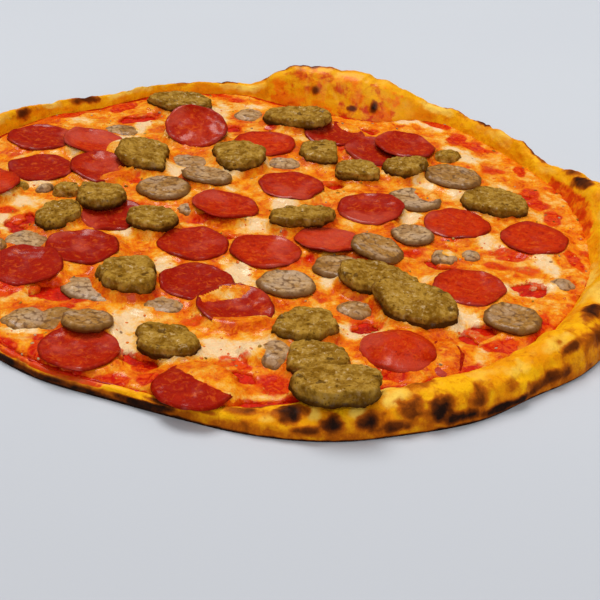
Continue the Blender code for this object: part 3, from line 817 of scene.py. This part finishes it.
def dress_crust():
    rough_rim = rim_rings("pizza_crust", CRUST_MERIDIANS, CRUST_RINGS)
    grid = softened(along_section(round_curve(rough_rim, CRUST_AROUND), CRUST_ACROSS), 3)
    around = 2 * math.pi * np.arange(CRUST_AROUND) / CRUST_AROUND
    bearing = np.broadcast_to(around[:, None], grid.shape[:2])
    share = np.broadcast_to(np.linspace(0, 1, CRUST_ACROSS), grid.shape[:2])
    reach = np.hypot(grid[..., 0] - AXIS[0], grid[..., 1] - AXIS[1])
    rag = rough(grid, 7 * MM, 3)
    char_and_shade = rim_spots(CHARS, bearing, share, reach, rag)
    pale = rim_spots(PALES, bearing, share, reach, rag)
    grid, blister, crease, fold = puffed(grid, bearing, share, char_and_shade)

    # The foot is darker, higher up at the front left
    front_left = np.clip(1 - np.abs(turned_from(bearing, 240)) / math.radians(38), 0, 1)
    dark_foot = smooth_step(0.955 - 0.02 * front_left, 1.0, share + 0.025 * rag)
    top_bubbles = 0.4 * blister * smooth_step(0.3, 0.5, share) * smooth_step(0.3, 0.7, rag + 0.2)
    char_and_shade = np.clip(np.maximum(char_and_shade, dark_foot) + 0.5 * top_bubbles, 0, 1)
    # The outer side is tanned and darkened by painted shade, less so at the right and at the big bubble
    bright = smooth_step(-0.3, 0.8, np.cos(bearing - math.radians(335)))
    bright = np.maximum(bright, 1.6 * smooth_step(0.90, 0.98, np.cos(bearing - math.radians(78))))
    tan_and_shade = (0.37 - 0.09 * bright) * smooth_step(0.60, 0.95, share) + 0.12 * smooth_step(0.0, 0.7, rag)
    # Painted shade: the folds and creases are darkened along with the char
    char_and_shade = np.clip(char_and_shade + tan_and_shade + 0.18 * fold + 0.10 * crease, 0, 1)
    # Painted highlight: the rim is paler along its crown
    highlight_band = smooth_step(0.12, 0.26, share) * smooth_step(0.60, 0.42, share)
    pale = np.maximum(pale, 0.7 * highlight_band * smooth_step(-0.1, 0.6, rough(grid, 22 * MM, 4)))

    stain = crept(bearing, share, rag)
    marks = {"char_and_shade": char_and_shade, "pale": pale, "stain": stain, "under": smooth_step(0.985, 1.0, share)}
    mesh = ring_mesh("crust", grid, (*AXIS, DOUGH_FLOOR), (*AXIS, 0.0), marks)
    add_piece("baked_crust", mesh, baked_crust(), "baked_crust", "pizza_crust")
    return grid, mesh


def dress_sauce(crust):
    """The sauce's skin runs a little way under the rim, so that its edge follows the dough."""
    inner, outer = np.linspace(0.03, 0.8, 56), np.linspace(0.81, SAUCE_REACH, 32)
    shares = np.concatenate([inner, outer, [SAUCE_REACH, 1.0]])
    edge = crust[:: CRUST_AROUND // SAUCE_AROUND, :1, :2] - AXIS
    grid = np.empty((SAUCE_AROUND, len(shares), 3))
    grid[..., :2] = AXIS + edge * shares[None, :, None]
    grid[..., 2] = SAUCE_TOP
    lumps = 0.40 * swell(grid, 7 * MM, 31) + 0.30 * swell(grid, 3 * MM, 32)
    rim = smooth_step(0.93, 1.0, shares)
    grid[..., 2] += (lumps * (0.4 + 0.6 * rim) - 0.15 + 0.35 * rim) * MM
    grid[:, -2:, 2] = DOUGH_FLOOR + 0.4 * MM
    mesh = ring_mesh("sauce", grid, (*AXIS, SAUCE_TOP), (*AXIS, DOUGH_FLOOR + 0.3 * MM), {})
    add_piece("tomato_sauce_layer", mesh, tomato_sauce(), "tomato_sauce", "tomato_sauce")


# Toppings


def slice_grid(node, around, cap, side):
    """A fine (bearing, section) grid over a CAD slice: its top, its side and its underside."""
    top, rings, bottom = slice_rings(node)
    if node.startswith("meatball"):
        # A cut slice: flat on top and steep at the sides
        rings[:, 0] += 0.45 * (rings[:, 1] - rings[:, 0]) * (1, 1, 0)
        rings[:, 1, 2] += 0.6 * (rings[:, 0, 2] - rings[:, 1, 2])
    rings = round_curve(rings, around)

    def capped(middle, ring, count):
        share = (np.arange(1, count + 1) / count)[None, :, None]
        made = middle + (ring[:, None] - middle) * share
        made[..., 2] = middle[2] + (ring[:, None, 2] - middle[2]) * share[..., 0] ** 2
        return made

    over = capped(top, rings[:, 0], cap)
    under = capped(bottom, rings[:, -1], cap // 2)[:, ::-1]
    edge = along_section(rings, side)
    grid = softened(np.concatenate([over, edge[:, 1:-1], under], 1), 1)
    flat = np.zeros(grid.shape[:2])
    flat[:, cap + side // 2 :] = 1
    reach = np.linalg.norm(grid[..., :2] - top[:2], axis=-1)
    rim = reach / reach.max(1, keepdims=True)
    return grid, rim, flat, top, bottom


def ragged(grid, rim, top, seed, amount, span):
    """Pulls a slice's outline in and out by up to amount."""
    away = grid[..., :2] - top[:2]
    away = away / np.maximum(np.linalg.norm(away, axis=-1, keepdims=True), 1e-9)
    around = np.concatenate([away * 20 * MM, 0 * away[..., :1]], -1)
    push = amount * rough(around, span, seed) * smooth_step(0.3, 1.0, rim)
    grid[..., :2] += push[..., None] * away
    return grid


def own_tone(rim, seed, *salt):
    """One number from 0 to 1 for a whole slice, at each of its points."""
    return np.full(rim.shape, 0.5 + 0.5 * cell_value(np.array((seed, *salt)), 5))


def dress_pepperoni(node, seed):
    grid, rim, under, top, bottom = slice_grid(node, 112, 20, 9)
    grid = ragged(grid, rim, top, 39 + seed, 1.3 * MM, 13 * MM)
    normal = outward(grid)
    wave = 0.42 * swell(grid, 9 * MM, 40 + seed) + 0.14 * swell(grid, 2.6 * MM, 41)
    lip = 0.30 * np.exp(-(((rim - 0.93) / 0.05) ** 2)) * (1 - under)
    grid = grid + ((wave + lip) * MM)[..., None] * normal
    frill = 1.8 * swell(grid, 13 * MM, 43 + seed) * smooth_step(0.5, 1.0, rim)
    grid[..., 2] += frill * MM
    marks = {"rim": rim * (1 - 0.4 * under), "under": under, "tone": own_tone(rim, seed, 3, 7)}
    return ring_mesh(node, grid, top, bottom, marks)


def dress_sausage(node, seed):
    grid, rim, under, top, bottom = slice_grid(node, 112, 20, 10)
    grid = ragged(grid, rim, top, 49 + seed, 1.2 * MM, 9 * MM)
    crumb, _ = cells_around(grid, 2.8 * MM, 50)
    wave = 0.75 * swell(grid, 8 * MM, 51 + seed) + 0.16 * (0.6 - crumb) + 0.20 * swell(grid, 1.9 * MM, 52)
    casing = 0.28 * np.exp(-(((rim - 0.95) / 0.05) ** 2)) * (1 - under)
    sunk = -0.5 * smooth_step(0.9, 0.5, rim) * (1 - under)
    grid = grid + ((wave + casing + sunk) * MM)[..., None] * outward(grid)
    marks = {"rim": rim, "under": under, "tone": own_tone(rim, seed, 3, 7)}
    return ring_mesh(node, grid, top + (0, 0, -0.4 * MM), bottom, marks)


def crumbled(grid, seed):
    """The rise and fall of a browned minced-meat surface in mm, and how deep in a pit each point is."""
    crumb, _ = cells_around(grid, 2.5 * MM, 60)
    pit_away, pit_own = cells_around(grid, 7.5 * MM, 61 + seed)
    pit = smooth_step(0.36, 0.12, pit_away + 0.30 * swell(grid, 2 * MM, 64)) * (pit_own > 0.70)
    wave = 0.65 * swell(grid, 7.5 * MM, 62 + seed) + 0.55 * swell(grid, 3.6 * MM, 65 + seed)
    wave = wave + 0.42 * (0.55 - crumb) + 0.34 * swell(grid, 1.7 * MM, 63)
    return wave - 0.5 * pit, pit


def dress_meatball(node, seed):
    grid, rim, under, top, bottom = slice_grid(node, 140, 26, 15)
    grid = ragged(grid, rim, top, 59 + seed, 1.8 * MM, 9 * MM)
    wave, pit = crumbled(grid, seed)
    grid = grid + (wave * MM)[..., None] * outward(grid)
    low, high = grid[..., 2].min(), grid[..., 2].max()
    shade = np.clip(smooth_step(0.75, 0.0, (grid[..., 2] - low) / (high - low)) + 0.3 * under, 0, 1)
    return ring_mesh(node, grid, top, bottom, {"rim": rim, "under": shade, "pit": pit * (1 - under)})


DRESSERS = {"pepperoni": dress_pepperoni, "sausage": dress_sausage, "meatball": dress_meatball}


def dress_bit(name, kind, place, length, width, turn, top, seed):
    """A bit that the cheese holds, domed where it stands out of it."""
    around, across = 72, 22
    bearing = (2 * math.pi * np.arange(around) / around)[:, None]
    share = np.linspace(1 / across, 1, across)[None, :]
    lean = bearing - math.radians(turn)
    reach = 0.5 * length * width / np.hypot(width * np.cos(lean), length * np.sin(lean))
    ring = np.concatenate([np.cos(bearing), np.sin(bearing), 0 * bearing], 1)
    reach = reach * (1 + 0.20 * rough(ring, 0.9, 70 + seed))[:, None]
    foot = SAUCE_TOP + 0.3 * MM
    drop = 1 - share ** (11 if kind == "pepperoni" else 5)
    grid = np.empty((around, across, 3))
    grid[..., 0] = place[0] + reach * share * np.cos(bearing)
    grid[..., 1] = place[1] + reach * share * np.sin(bearing)
    grid[..., 2] = foot + (top - foot) * drop
    rim = np.broadcast_to(share, grid.shape[:2])
    if kind == "meatball":
        wave, pit = crumbled(grid, seed)
    else:
        wave = (0.7 if kind == "sausage" else 0.15) * rough(grid, 6 * MM, 71 + seed)
        pit = 0 * wave
    hold = smooth_step(1.0, 0.85, rim)
    grid = grid + (wave * hold * MM)[..., None] * outward(grid)
    marks = {"rim": rim, "under": 0 * rim, "pit": pit, "tone": own_tone(rim, seed, 5, 9)}
    return ring_mesh(name, grid, (*place, top), (*place, foot), marks)


class Sheet:
    """Square maps, one value for each of the cheese's points."""

    def __init__(self):
        self.steps = np.arange(-SHEET_HALF, SHEET_HALF, SHEET_SPACING)
        self.x, self.y = np.meshgrid(self.steps, self.steps, indexing="ij")
        self.points = np.stack([self.x, self.y, 0 * self.x], -1)

    def hits(self, mesh, from_above, wanted=None):
        """Heights at which rays straight down or up meet a mesh, and where they meet it."""
        corners = np.empty(3 * len(mesh.vertices))
        mesh.vertices.foreach_get("co", corners)
        corners = corners.reshape(-1, 3)
        tree = BVHTree.FromPolygons(corners.tolist(), [tuple(face.vertices) for face in mesh.polygons])
        low, high = corners.min(0), corners.max(0)
        inside = (self.x > low[0]) & (self.x < high[0]) & (self.y > low[1]) & (self.y < high[1])
        if wanted is not None:
            inside &= wanted
        heights = np.full(self.x.shape, np.nan)
        start, way = (1.0, -1.0) if from_above else (-1.0, 1.0)
        for i, j in np.argwhere(inside):
            hit = tree.ray_cast(Vector((self.x[i, j], self.y[i, j], start)), Vector((0, 0, way)))[0]
            if hit:
                heights[i, j] = hit.z
        return heights

    def blurred(self, values, half_width):
        """Values softened over half_width, by two running means each way."""
        count = max(1, int(round(half_width / SHEET_SPACING)))
        kernel = np.ones(2 * count + 1) / (2 * count + 1)
        for axis in (0, 1):
            for _ in range(2):
                values = np.apply_along_axis(lambda row: np.convolve(row, kernel, "same"), axis, values)
        return values

    def spots(self, rows, rag):
        """How far each point lies in the listed ovals, from 0 to 1."""
        total = np.zeros(self.x.shape)
        for x, y, half_length, half_width, turn, strength in rows:
            lean = math.radians(turn)
            dx, dy = self.x - x * MM, self.y - y * MM
            along = (dx * math.cos(lean) + dy * math.sin(lean)) / (half_length * MM)
            across = (dy * math.cos(lean) - dx * math.sin(lean)) / (half_width * MM)
            away = np.hypot(along, across) + 0.45 * rag
            total = np.maximum(total, strength * smooth_step(1.45, 0.55, away))
        return total

    def depth(self, inside, most):
        """Signed distance in from the edge of a region, up to most either way."""
        reach = np.full(self.x.shape, most)
        for region, sign in ((inside, 1), (~inside, -1)):
            left = region.copy()
            away = 0.5 * SHEET_SPACING * np.ones(self.x.shape)
            for step in range(int(most / SHEET_SPACING)):
                edge = left.copy()
                for axis in (0, 1):
                    for way in (-1, 1):
                        edge &= np.roll(left, way, axis)
                if step % 2:
                    for way in ((-1, -1), (-1, 1), (1, -1), (1, 1)):
                        edge &= np.roll(left, way, (0, 1))
                gone = left & ~edge
                reach = np.where(gone, sign * away, reach)
                left = edge
                away = away + SHEET_SPACING
            reach = np.where(left, sign * most, reach)
        return reach


def dress_toppings(sheet, cheese_top):
    """Every slice and bit, with maps of the lowest underside, the highest top and where each one lies."""
    under = np.full(sheet.x.shape, np.inf)
    over = np.full(sheet.x.shape, -np.inf)
    lies = {}
    for seed, node in enumerate(sorted(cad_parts)):
        kind = node.split("_")[0]
        if kind not in DRESSERS:
            continue
        mesh = DRESSERS[kind](node, seed)
        add_piece(node + "_cooked", mesh, FINISHES[kind], kind, node)
        under = np.fmin(under, sheet.hits(mesh, False))
        tops = sheet.hits(mesh, True)
        over = np.fmax(over, tops)
        lies[node] = np.isfinite(tops)
    for seed, (kind, x, y, length, width, turn) in enumerate(BITS):
        place = np.array((x, y)) * MM + AXIS
        nearest = np.unravel_index(np.argmin(np.hypot(sheet.x - place[0], sheet.y - place[1])), sheet.x.shape)
        name = f"{kind}_bit_{seed + 1:02d}"
        mesh = dress_bit(name, kind, place, length * MM, width * MM, turn, cheese_top[nearest], seed)
        add_piece(name, mesh, FINISHES[kind], kind, "mozzarella")
        tops = sheet.hits(mesh, True)
        over = np.fmax(over, tops)
        lies[name] = np.isfinite(tops)
    return under, over, lies


def filled(sheet, values, known):
    """The values, with the places that aren't known taken from what is round them."""
    made = np.where(known, values, 0)
    for half_width in (2 * MM, 6 * MM, 18 * MM):
        weight = sheet.blurred(known.astype(float), half_width)
        spread = sheet.blurred(np.where(known, made, 0), half_width) / np.maximum(weight, 1e-9)
        take = ~known & (weight > 0.02)
        made = np.where(take, spread, made)
        known = known | take
    return made


def draped_places(sheet, lies, rag):
    """How far the cheese lies over a slice at each point, from 0 to 1, and how pale it is there."""
    drape = np.zeros(sheet.x.shape)
    paleness = np.zeros(sheet.x.shape)
    for name, *oval, pale in DRAPES:
        near = smooth_step(0.0, 0.4, sheet.blurred(lies[name].astype(float), 2 * MM))
        spot = near * sheet.spots(((*oval, 1.0),), 0.5 * rag)
        paleness = np.where(spot > drape, pale, paleness)
        drape = np.maximum(drape, spot)
    return sheet.blurred(drape, 2 * MM), paleness


def held_level(sheet, cad_top, known, under):
    """The CAD cheese's height, everywhere, and higher where slices lie close above, to hold them."""
    level = filled(sheet, cad_top, known)
    near = np.isfinite(under) & (under - level < 2.6 * MM)
    weight = sheet.blurred(near.astype(float), 6 * MM)
    wanted = sheet.blurred(np.where(near, under, 0), 6 * MM) / np.maximum(weight, 1e-6) + 0.5 * MM
    return level + np.clip(wanted - level, 0, 2.5 * MM) * smooth_step(0.02, 0.35, weight)


def risen_round(sheet, top, round_edge, under, tall):
    """The cheese's top, risen to meet the slices in it and a little way up the tall ones' sides."""
    beneath = np.isfinite(under)
    rise = np.where(beneath, np.clip(under + 0.45 * MM - top, 0, 2.4 * MM), 0)
    weight = sheet.blurred(beneath.astype(float), 2.2 * MM)
    spread = sheet.blurred(rise, 2.2 * MM) / np.maximum(weight, 1e-6)
    top = top + spread * smooth_step(0.03, 0.45, weight) * round_edge
    return top + (1.9 + 1.2 * swell(sheet.points, 12 * MM, 94)) * MM * tall * round_edge


def dress_cheese(sheet, crust_grid, crust_mesh):
    cad_top = sheet.hits(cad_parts["mozzarella"].data, True)
    covered = np.isfinite(cad_top)
    under, over, lies = dress_toppings(sheet, cad_top)
    bits = np.any([place for name, place in lies.items() if "_bit_" in name], 0)
    thin_slices = np.any([place for name, place in lies.items() if name.startswith("pepperoni")], 0)
    away_x, away_y = sheet.x - AXIS[0], sheet.y - AXIS[1]
    radius, bearing = np.hypot(away_x, away_y), np.arctan2(away_y, away_x)
    crust_top = np.nan_to_num(sheet.hits(crust_mesh, True, radius > RIM_NEAR))
    flat = sheet.points
    rag = rough(flat, 9 * MM, 80)
    drape, lap_cream = draped_places(sheet, lies, rag)

    # Round the pizza the cheese reaches the rim in some places and leaves a ring of sauce in others
    foot_bearing = np.radians(np.linspace(0, 360, CRUST_AROUND, endpoint=False))
    foot_reach = np.hypot(*(crust_grid[:, 0, :2] - AXIS).T)
    foot = np.interp(bearing, foot_bearing, foot_reach, period=2 * math.pi)
    right = smooth_step(0.2, 0.9, np.cos(bearing - math.radians(5)))
    closed = np.maximum(right, smooth_step(0.86, 0.97, np.cos(bearing - math.radians(238))))
    outer_gap = np.maximum(0.8 + 5.5 * rough(flat, 24 * MM, 81) - 4.5 * closed, 0.4 - 2.4 * closed) * MM
    beyond = (radius > foot - 16 * MM) & (foot - radius - outer_gap > 0)
    # Its windows are partly bridged by thin strings
    bridged = (radius < foot - 10 * MM) & (rough(flat, 8 * MM, 93) > 0.12)
    depth = sheet.blurred(sheet.depth(covered | beyond | bridged | (drape > 0.2), 9 * MM), 1.2 * MM)
    depth = depth + 1.3 * MM * swell(flat, 7 * MM, 82) + 0.9 * MM * swell(flat, 3.2 * MM, 83)

    creamy = sheet.spots(CREAM, rag)
    clotted = 0.50 * rough(flat, 13 * MM, 84) + 0.34 * rough(flat, 6 * MM, 95)
    cream = np.clip(0.70 * creamy + clotted + 0.24, 0, 1)
    thin = 0.62 * smooth_step(0.18, 0.62, rough(flat, 15 * MM, 92)) - 0.5 * creamy
    red = np.clip(0.9 * sheet.spots(RED, rag) + np.maximum(thin, 0), 0, 1)

    level = held_level(sheet, cad_top, covered & ~bits, under)
    carrier = np.where(drape > 0.05, np.maximum(SAUCE_TOP, crust_top), SAUCE_TOP)
    lip = 1 - np.clip(depth / CHEESE_LIP, 0, 1)
    round_edge = np.sqrt(np.clip(1 - lip**2, 0, 1))
    thick = np.maximum(level - SAUCE_TOP, 0.8 * MM) * (0.85 + 0.25 * cream - 0.30 * red)
    thick = np.where(carrier > SAUCE_TOP, 0.6 * MM + 0.5 * MM * cream, thick)
    lumps = 0.38 * swell(flat, 8 * MM, 85) + 0.34 * swell(flat, 4.4 * MM, 86)
    lumps = lumps + 0.14 * swell(flat, 2.4 * MM, 87)
    thick = np.maximum(thick + lumps * MM, 0.35 * MM)
    top = carrier + 0.1 * MM + thick * round_edge
    tall = np.isfinite(over) & (over - level > TALL)
    hug = smooth_step(0.12, 0.60, sheet.blurred(tall.astype(float), 1.8 * MM))
    top = risen_round(sheet, top, round_edge, under, np.where(thin_slices, 0, hug))

    # It lies over some slices: its edge dips into the slice and comes out smoothly
    bare = np.where(np.isfinite(over), np.maximum(over, top), top)
    soft = np.maximum(sheet.blurred(bare, 1.2 * MM), bare - 0.2 * MM)
    draped = soft + (2.4 * drape - 1.0 + 0.2 * lumps) * MM
    low_slice = bare - np.maximum(level, crust_top) < TALL
    top = np.where((drape > 0.06) & low_slice, np.maximum(top, draped), top)
    laps = smooth_step(0.3, 0.5, drape)

    # Its edge and its strings are stained by the sauce, and it is less pale close to the meat
    red = red * (1 - 0.6 * laps)
    plain_edge = (1 - 0.75 * closed) * smooth_step(0.3, 0.1, drape)
    red = np.maximum(red, 0.70 * plain_edge * smooth_step(3.5 * MM, 0, depth))
    red = np.where(covered | beyond | (laps > 0.5), red, np.maximum(red, 0.55))
    brown = 0.9 * smooth_step(0.62, 0.9, rough(flat, 5 * MM, 91))
    soak = sheet.blurred(np.isfinite(over).astype(float), 2.5 * MM)
    cream = np.clip(np.clip(cream + laps * lap_cream, 0, 1) - 0.25 * soak * (1 - laps), 0, 1)

    mesh = sheet_mesh(sheet, depth, top, {"cream": cream, "red": red, "brown": brown})
    close_underneath(mesh, SAUCE_TOP - 0.6 * MM)
    add_piece("mozzarella_melted", mesh, melted_cheese(), "mozzarella", "mozzarella")
    scatter_crumbs(mesh)


def sheet_mesh(sheet, depth, top, marks):
    """The sheet where its depth is over 0, with the points just outside drawn in to its edge."""
    keep = depth > 0
    cells = keep[:-1, :-1].astype(int) + keep[1:, :-1] + keep[:-1, 1:] + keep[1:, 1:]
    i, j = np.argwhere(cells >= 2).T
    used = np.zeros(keep.shape, bool)
    for a, b in np.ndindex(2, 2):
        used[i + a, j + b] = True
    slope_x, slope_y = np.gradient(depth, SHEET_SPACING)
    size = np.maximum(np.hypot(slope_x, slope_y), 0.3)
    slide = np.where(used & ~keep, np.clip(-depth / size, 0, 1.2 * SHEET_SPACING), 0)
    place_x = sheet.x + slide * slope_x / size
    place_y = sheet.y + slide * slope_y / size
    points = np.stack([place_x[used], place_y[used], top[used]], -1)
    number = np.full(keep.shape, -1)
    number[used] = np.arange(used.sum())
    faces = np.stack([number[i, j], number[i + 1, j], number[i + 1, j + 1], number[i, j + 1]], -1)
    return mesh_of("cheese", points, faces.tolist(), {name: values[used] for name, values in marks.items()})


def close_underneath(mesh, floor):
    """Turns the sheet's edges down into what carries it and closes it there."""
    body = bmesh.new()
    body.from_mesh(mesh)
    border = [edge for edge in body.edges if edge.is_boundary]
    made = bmesh.ops.extrude_edge_only(body, edges=border)["geom"]
    for vertex in (item for item in made if isinstance(item, bmesh.types.BMVert)):
        vertex.co.z = floor
    rest = [edge for edge in body.edges if edge.is_boundary]
    bmesh.ops.triangle_fill(body, use_beauty=False, use_dissolve=False, edges=rest, normal=(0, 0, -1))
    bmesh.ops.recalc_face_normals(body, faces=body.faces)
    body.to_mesh(mesh)
    body.free()
    mesh.shade_smooth()


# Crumbs and beads of oil


def scatter_tree():
    """Geometry Nodes: small round grains on the upward faces of a surface."""
    tree = bpy.data.node_groups.new("scattered_grains", "GeometryNodeTree")
    named = {}
    for name, kind in (
        ("Surface", "Geometry"),
        ("Grains per square metre", "Float"),
        ("Smallest", "Vector"),
        ("Largest", "Vector"),
        ("Seed", "Int"),
        ("Finish", "Material"),
    ):
        socket = tree.interface.new_socket(name, in_out="INPUT", socket_type="NodeSocket" + kind)
        named[name] = socket.identifier
    tree.interface.new_socket("Grains", in_out="OUTPUT", socket_type="NodeSocketGeometry")

    def node(kind, inputs=None, **settings):
        return new_node(tree, kind, settings, inputs)

    given = node("NodeGroupInput")
    normal = node("GeometryNodeInputNormal")["Normal"]
    height = node("ShaderNodeSeparateXYZ", {0: normal})["Z"]
    upward = node("FunctionNodeCompare", {0: height, 1: UPWARD}, operation="GREATER_THAN")["Result"]
    where = {
        "Mesh": given["Surface"],
        "Selection": upward,
        "Density": given["Grains per square metre"],
        "Seed": given["Seed"],
    }
    spots = node("GeometryNodeDistributePointsOnFaces", where)
    limits = {0: given["Smallest"], 1: given["Largest"], "Seed": given["Seed"]}
    size = node("FunctionNodeRandomValue", limits, data_type="FLOAT_VECTOR")["Value"]
    grain = node("GeometryNodeMeshUVSphere", {"Segments": 8, "Rings": 5, "Radius": 1.0})["Mesh"]
    placed = {"Points": spots["Points"], "Instance": grain, "Rotation": spots["Rotation"], "Scale": size}
    grains = node("GeometryNodeInstanceOnPoints", placed)["Instances"]
    solid = node("GeometryNodeRealizeInstances", {0: grains})[0]
    finished = node("GeometryNodeSetMaterial", {"Geometry": solid, "Material": given["Finish"]})[0]
    node("NodeGroupOutput", {0: finished})
    return tree, named


def bead_of_oil():
    r = Recipe("bead_of_oil")
    base = r.mix(r.grain(6 * MM, 2, 0.5), colour(238, 130, 8), colour(206, 74, 4))
    return r.finish(base, Roughness=0.22, Coat_Weight=0.5, Coat_Roughness=0.08)


def scatter_crumbs(bed):
    """Crumbs of meat and beads of oil on the cheese."""
    tree, named = scatter_tree()
    for name, per_square, smallest, largest, seed, finish, slot in (
        ("sausage_crumbs", 1500, (0.5, 0.4, 0.3), (1.3, 0.9, 0.6), 3, FINISHES["sausage"], "sausage"),
        ("meatball_crumbs", 1000, (0.5, 0.4, 0.3), (1.5, 1.0, 0.8), 4, FINISHES["meatball"], "meatball"),
        ("oil_beads", 5200, (0.4, 0.4, 0.15), (1.2, 1.2, 0.35), 5, bead_of_oil(), "mozzarella"),
    ):
        guide = linked(name + "_guide", bed)
        scatter = guide.modifiers.new("scatter", "NODES")
        scatter.node_group = tree
        scatter[named["Grains per square metre"]] = float(per_square)
        scatter[named["Smallest"]] = [side * MM for side in smallest]
        scatter[named["Largest"]] = [side * MM for side in largest]
        scatter[named["Seed"]] = seed
        scatter[named["Finish"]] = finish
        bpy.context.view_layer.update()
        grains = bpy.data.meshes.new_from_object(guide.evaluated_get(bpy.context.evaluated_depsgraph_get()))
        bpy.data.objects.remove(guide)
        grains.name = name
        grains.materials.clear()
        grains.shade_smooth()
        add_piece(name, grains, finish, slot, "mozzarella")


# Camera, floor and light


def place_camera():
    target = Vector((0.017, -0.0766, 0))
    rise, roll, distance = math.radians(29.2), math.radians(4.5), 0.735
    lens = bpy.data.cameras.new("photo_angle")
    lens.lens = 85
    lens.sensor_width = 36
    camera = linked("photo_angle", lens)
    place = target + distance * Vector((0, -math.cos(rise), math.sin(rise)))
    turn = (target - place).to_track_quat("-Z", "Y").to_matrix().to_4x4()
    camera.matrix_world = Matrix.Translation(place) @ turn @ Matrix.Rotation(roll, 4, "Z")
    bpy.context.scene.camera = camera


def lay_floor():
    body = bmesh.new()
    bmesh.ops.create_grid(body, x_segments=1, y_segments=1, size=6)
    mesh = bpy.data.meshes.new("floor")
    body.to_mesh(mesh)
    body.free()
    mesh.transform(Matrix.Translation((0, 0, -0.2 * MM)))
    r = Recipe("pale_floor")
    far = r.node("ShaderNodeSeparateXYZ", None, {0: r.place}, "Y")
    base = r.mix(r.grain(0.18, 3, 0.5), colour(206, 211, 219), colour(202, 207, 216))
    # Painted shade: the floor darkens towards the front
    base = r.mix(r.step(far, -0.40, 0.05), colour(192, 196, 204), base)
    mesh.materials.append(r.finish(base, Roughness=0.85))
    linked("floor", mesh)


def add_sun(name, bearing, rise, spread, strength, tint):
    """Soft light from a bearing and a height above the horizon, in degrees."""
    light = bpy.data.lights.new(name, "SUN")
    light.angle = math.radians(spread)
    light.energy = strength
    light.color = tint
    lamp = linked(name, light)
    b, e = math.radians(bearing), math.radians(rise)
    towards = Vector((math.cos(b) * math.cos(e), math.sin(b) * math.cos(e), math.sin(e)))
    lamp.rotation_euler = towards.to_track_quat("Z", "Y").to_euler()


def light_scene():
    """A soft window behind on the left, a fill in front, and a dome that darkens towards the horizon."""
    add_sun("window", 114, 63, 34, 2.0, (1.0, 0.98, 0.95))
    add_sun("fill", 285, 30, 60, 1.05, (1.0, 0.98, 0.95))
    world = bpy.data.worlds.new("studio")
    world.use_nodes = True
    tree = world.node_tree
    background = tree.nodes["Background"]
    background.inputs["Color"].default_value = (1.0, 0.99, 0.97, 1)
    place = new_node(tree, "ShaderNodeTexCoord")["Generated"]
    height = new_node(tree, "ShaderNodeSeparateXYZ", None, {0: place})["Z"]
    limits = {"From Min": 0.25, "From Max": 0.95, "To Min": 0.08, "To Max": 0.58}
    strength = new_node(tree, "ShaderNodeMapRange", None, limits | {"Value": height})["Result"]
    tree.links.new(strength, background.inputs["Strength"])
    bpy.context.scene.world = world
    bpy.context.scene.view_settings.view_transform = "Standard"


def main():
    place_camera()
    lay_floor()
    light_scene()
    crust_grid, crust_mesh = dress_crust()
    dress_sauce(crust_grid)
    dress_cheese(Sheet(), crust_grid, crust_mesh)


main()
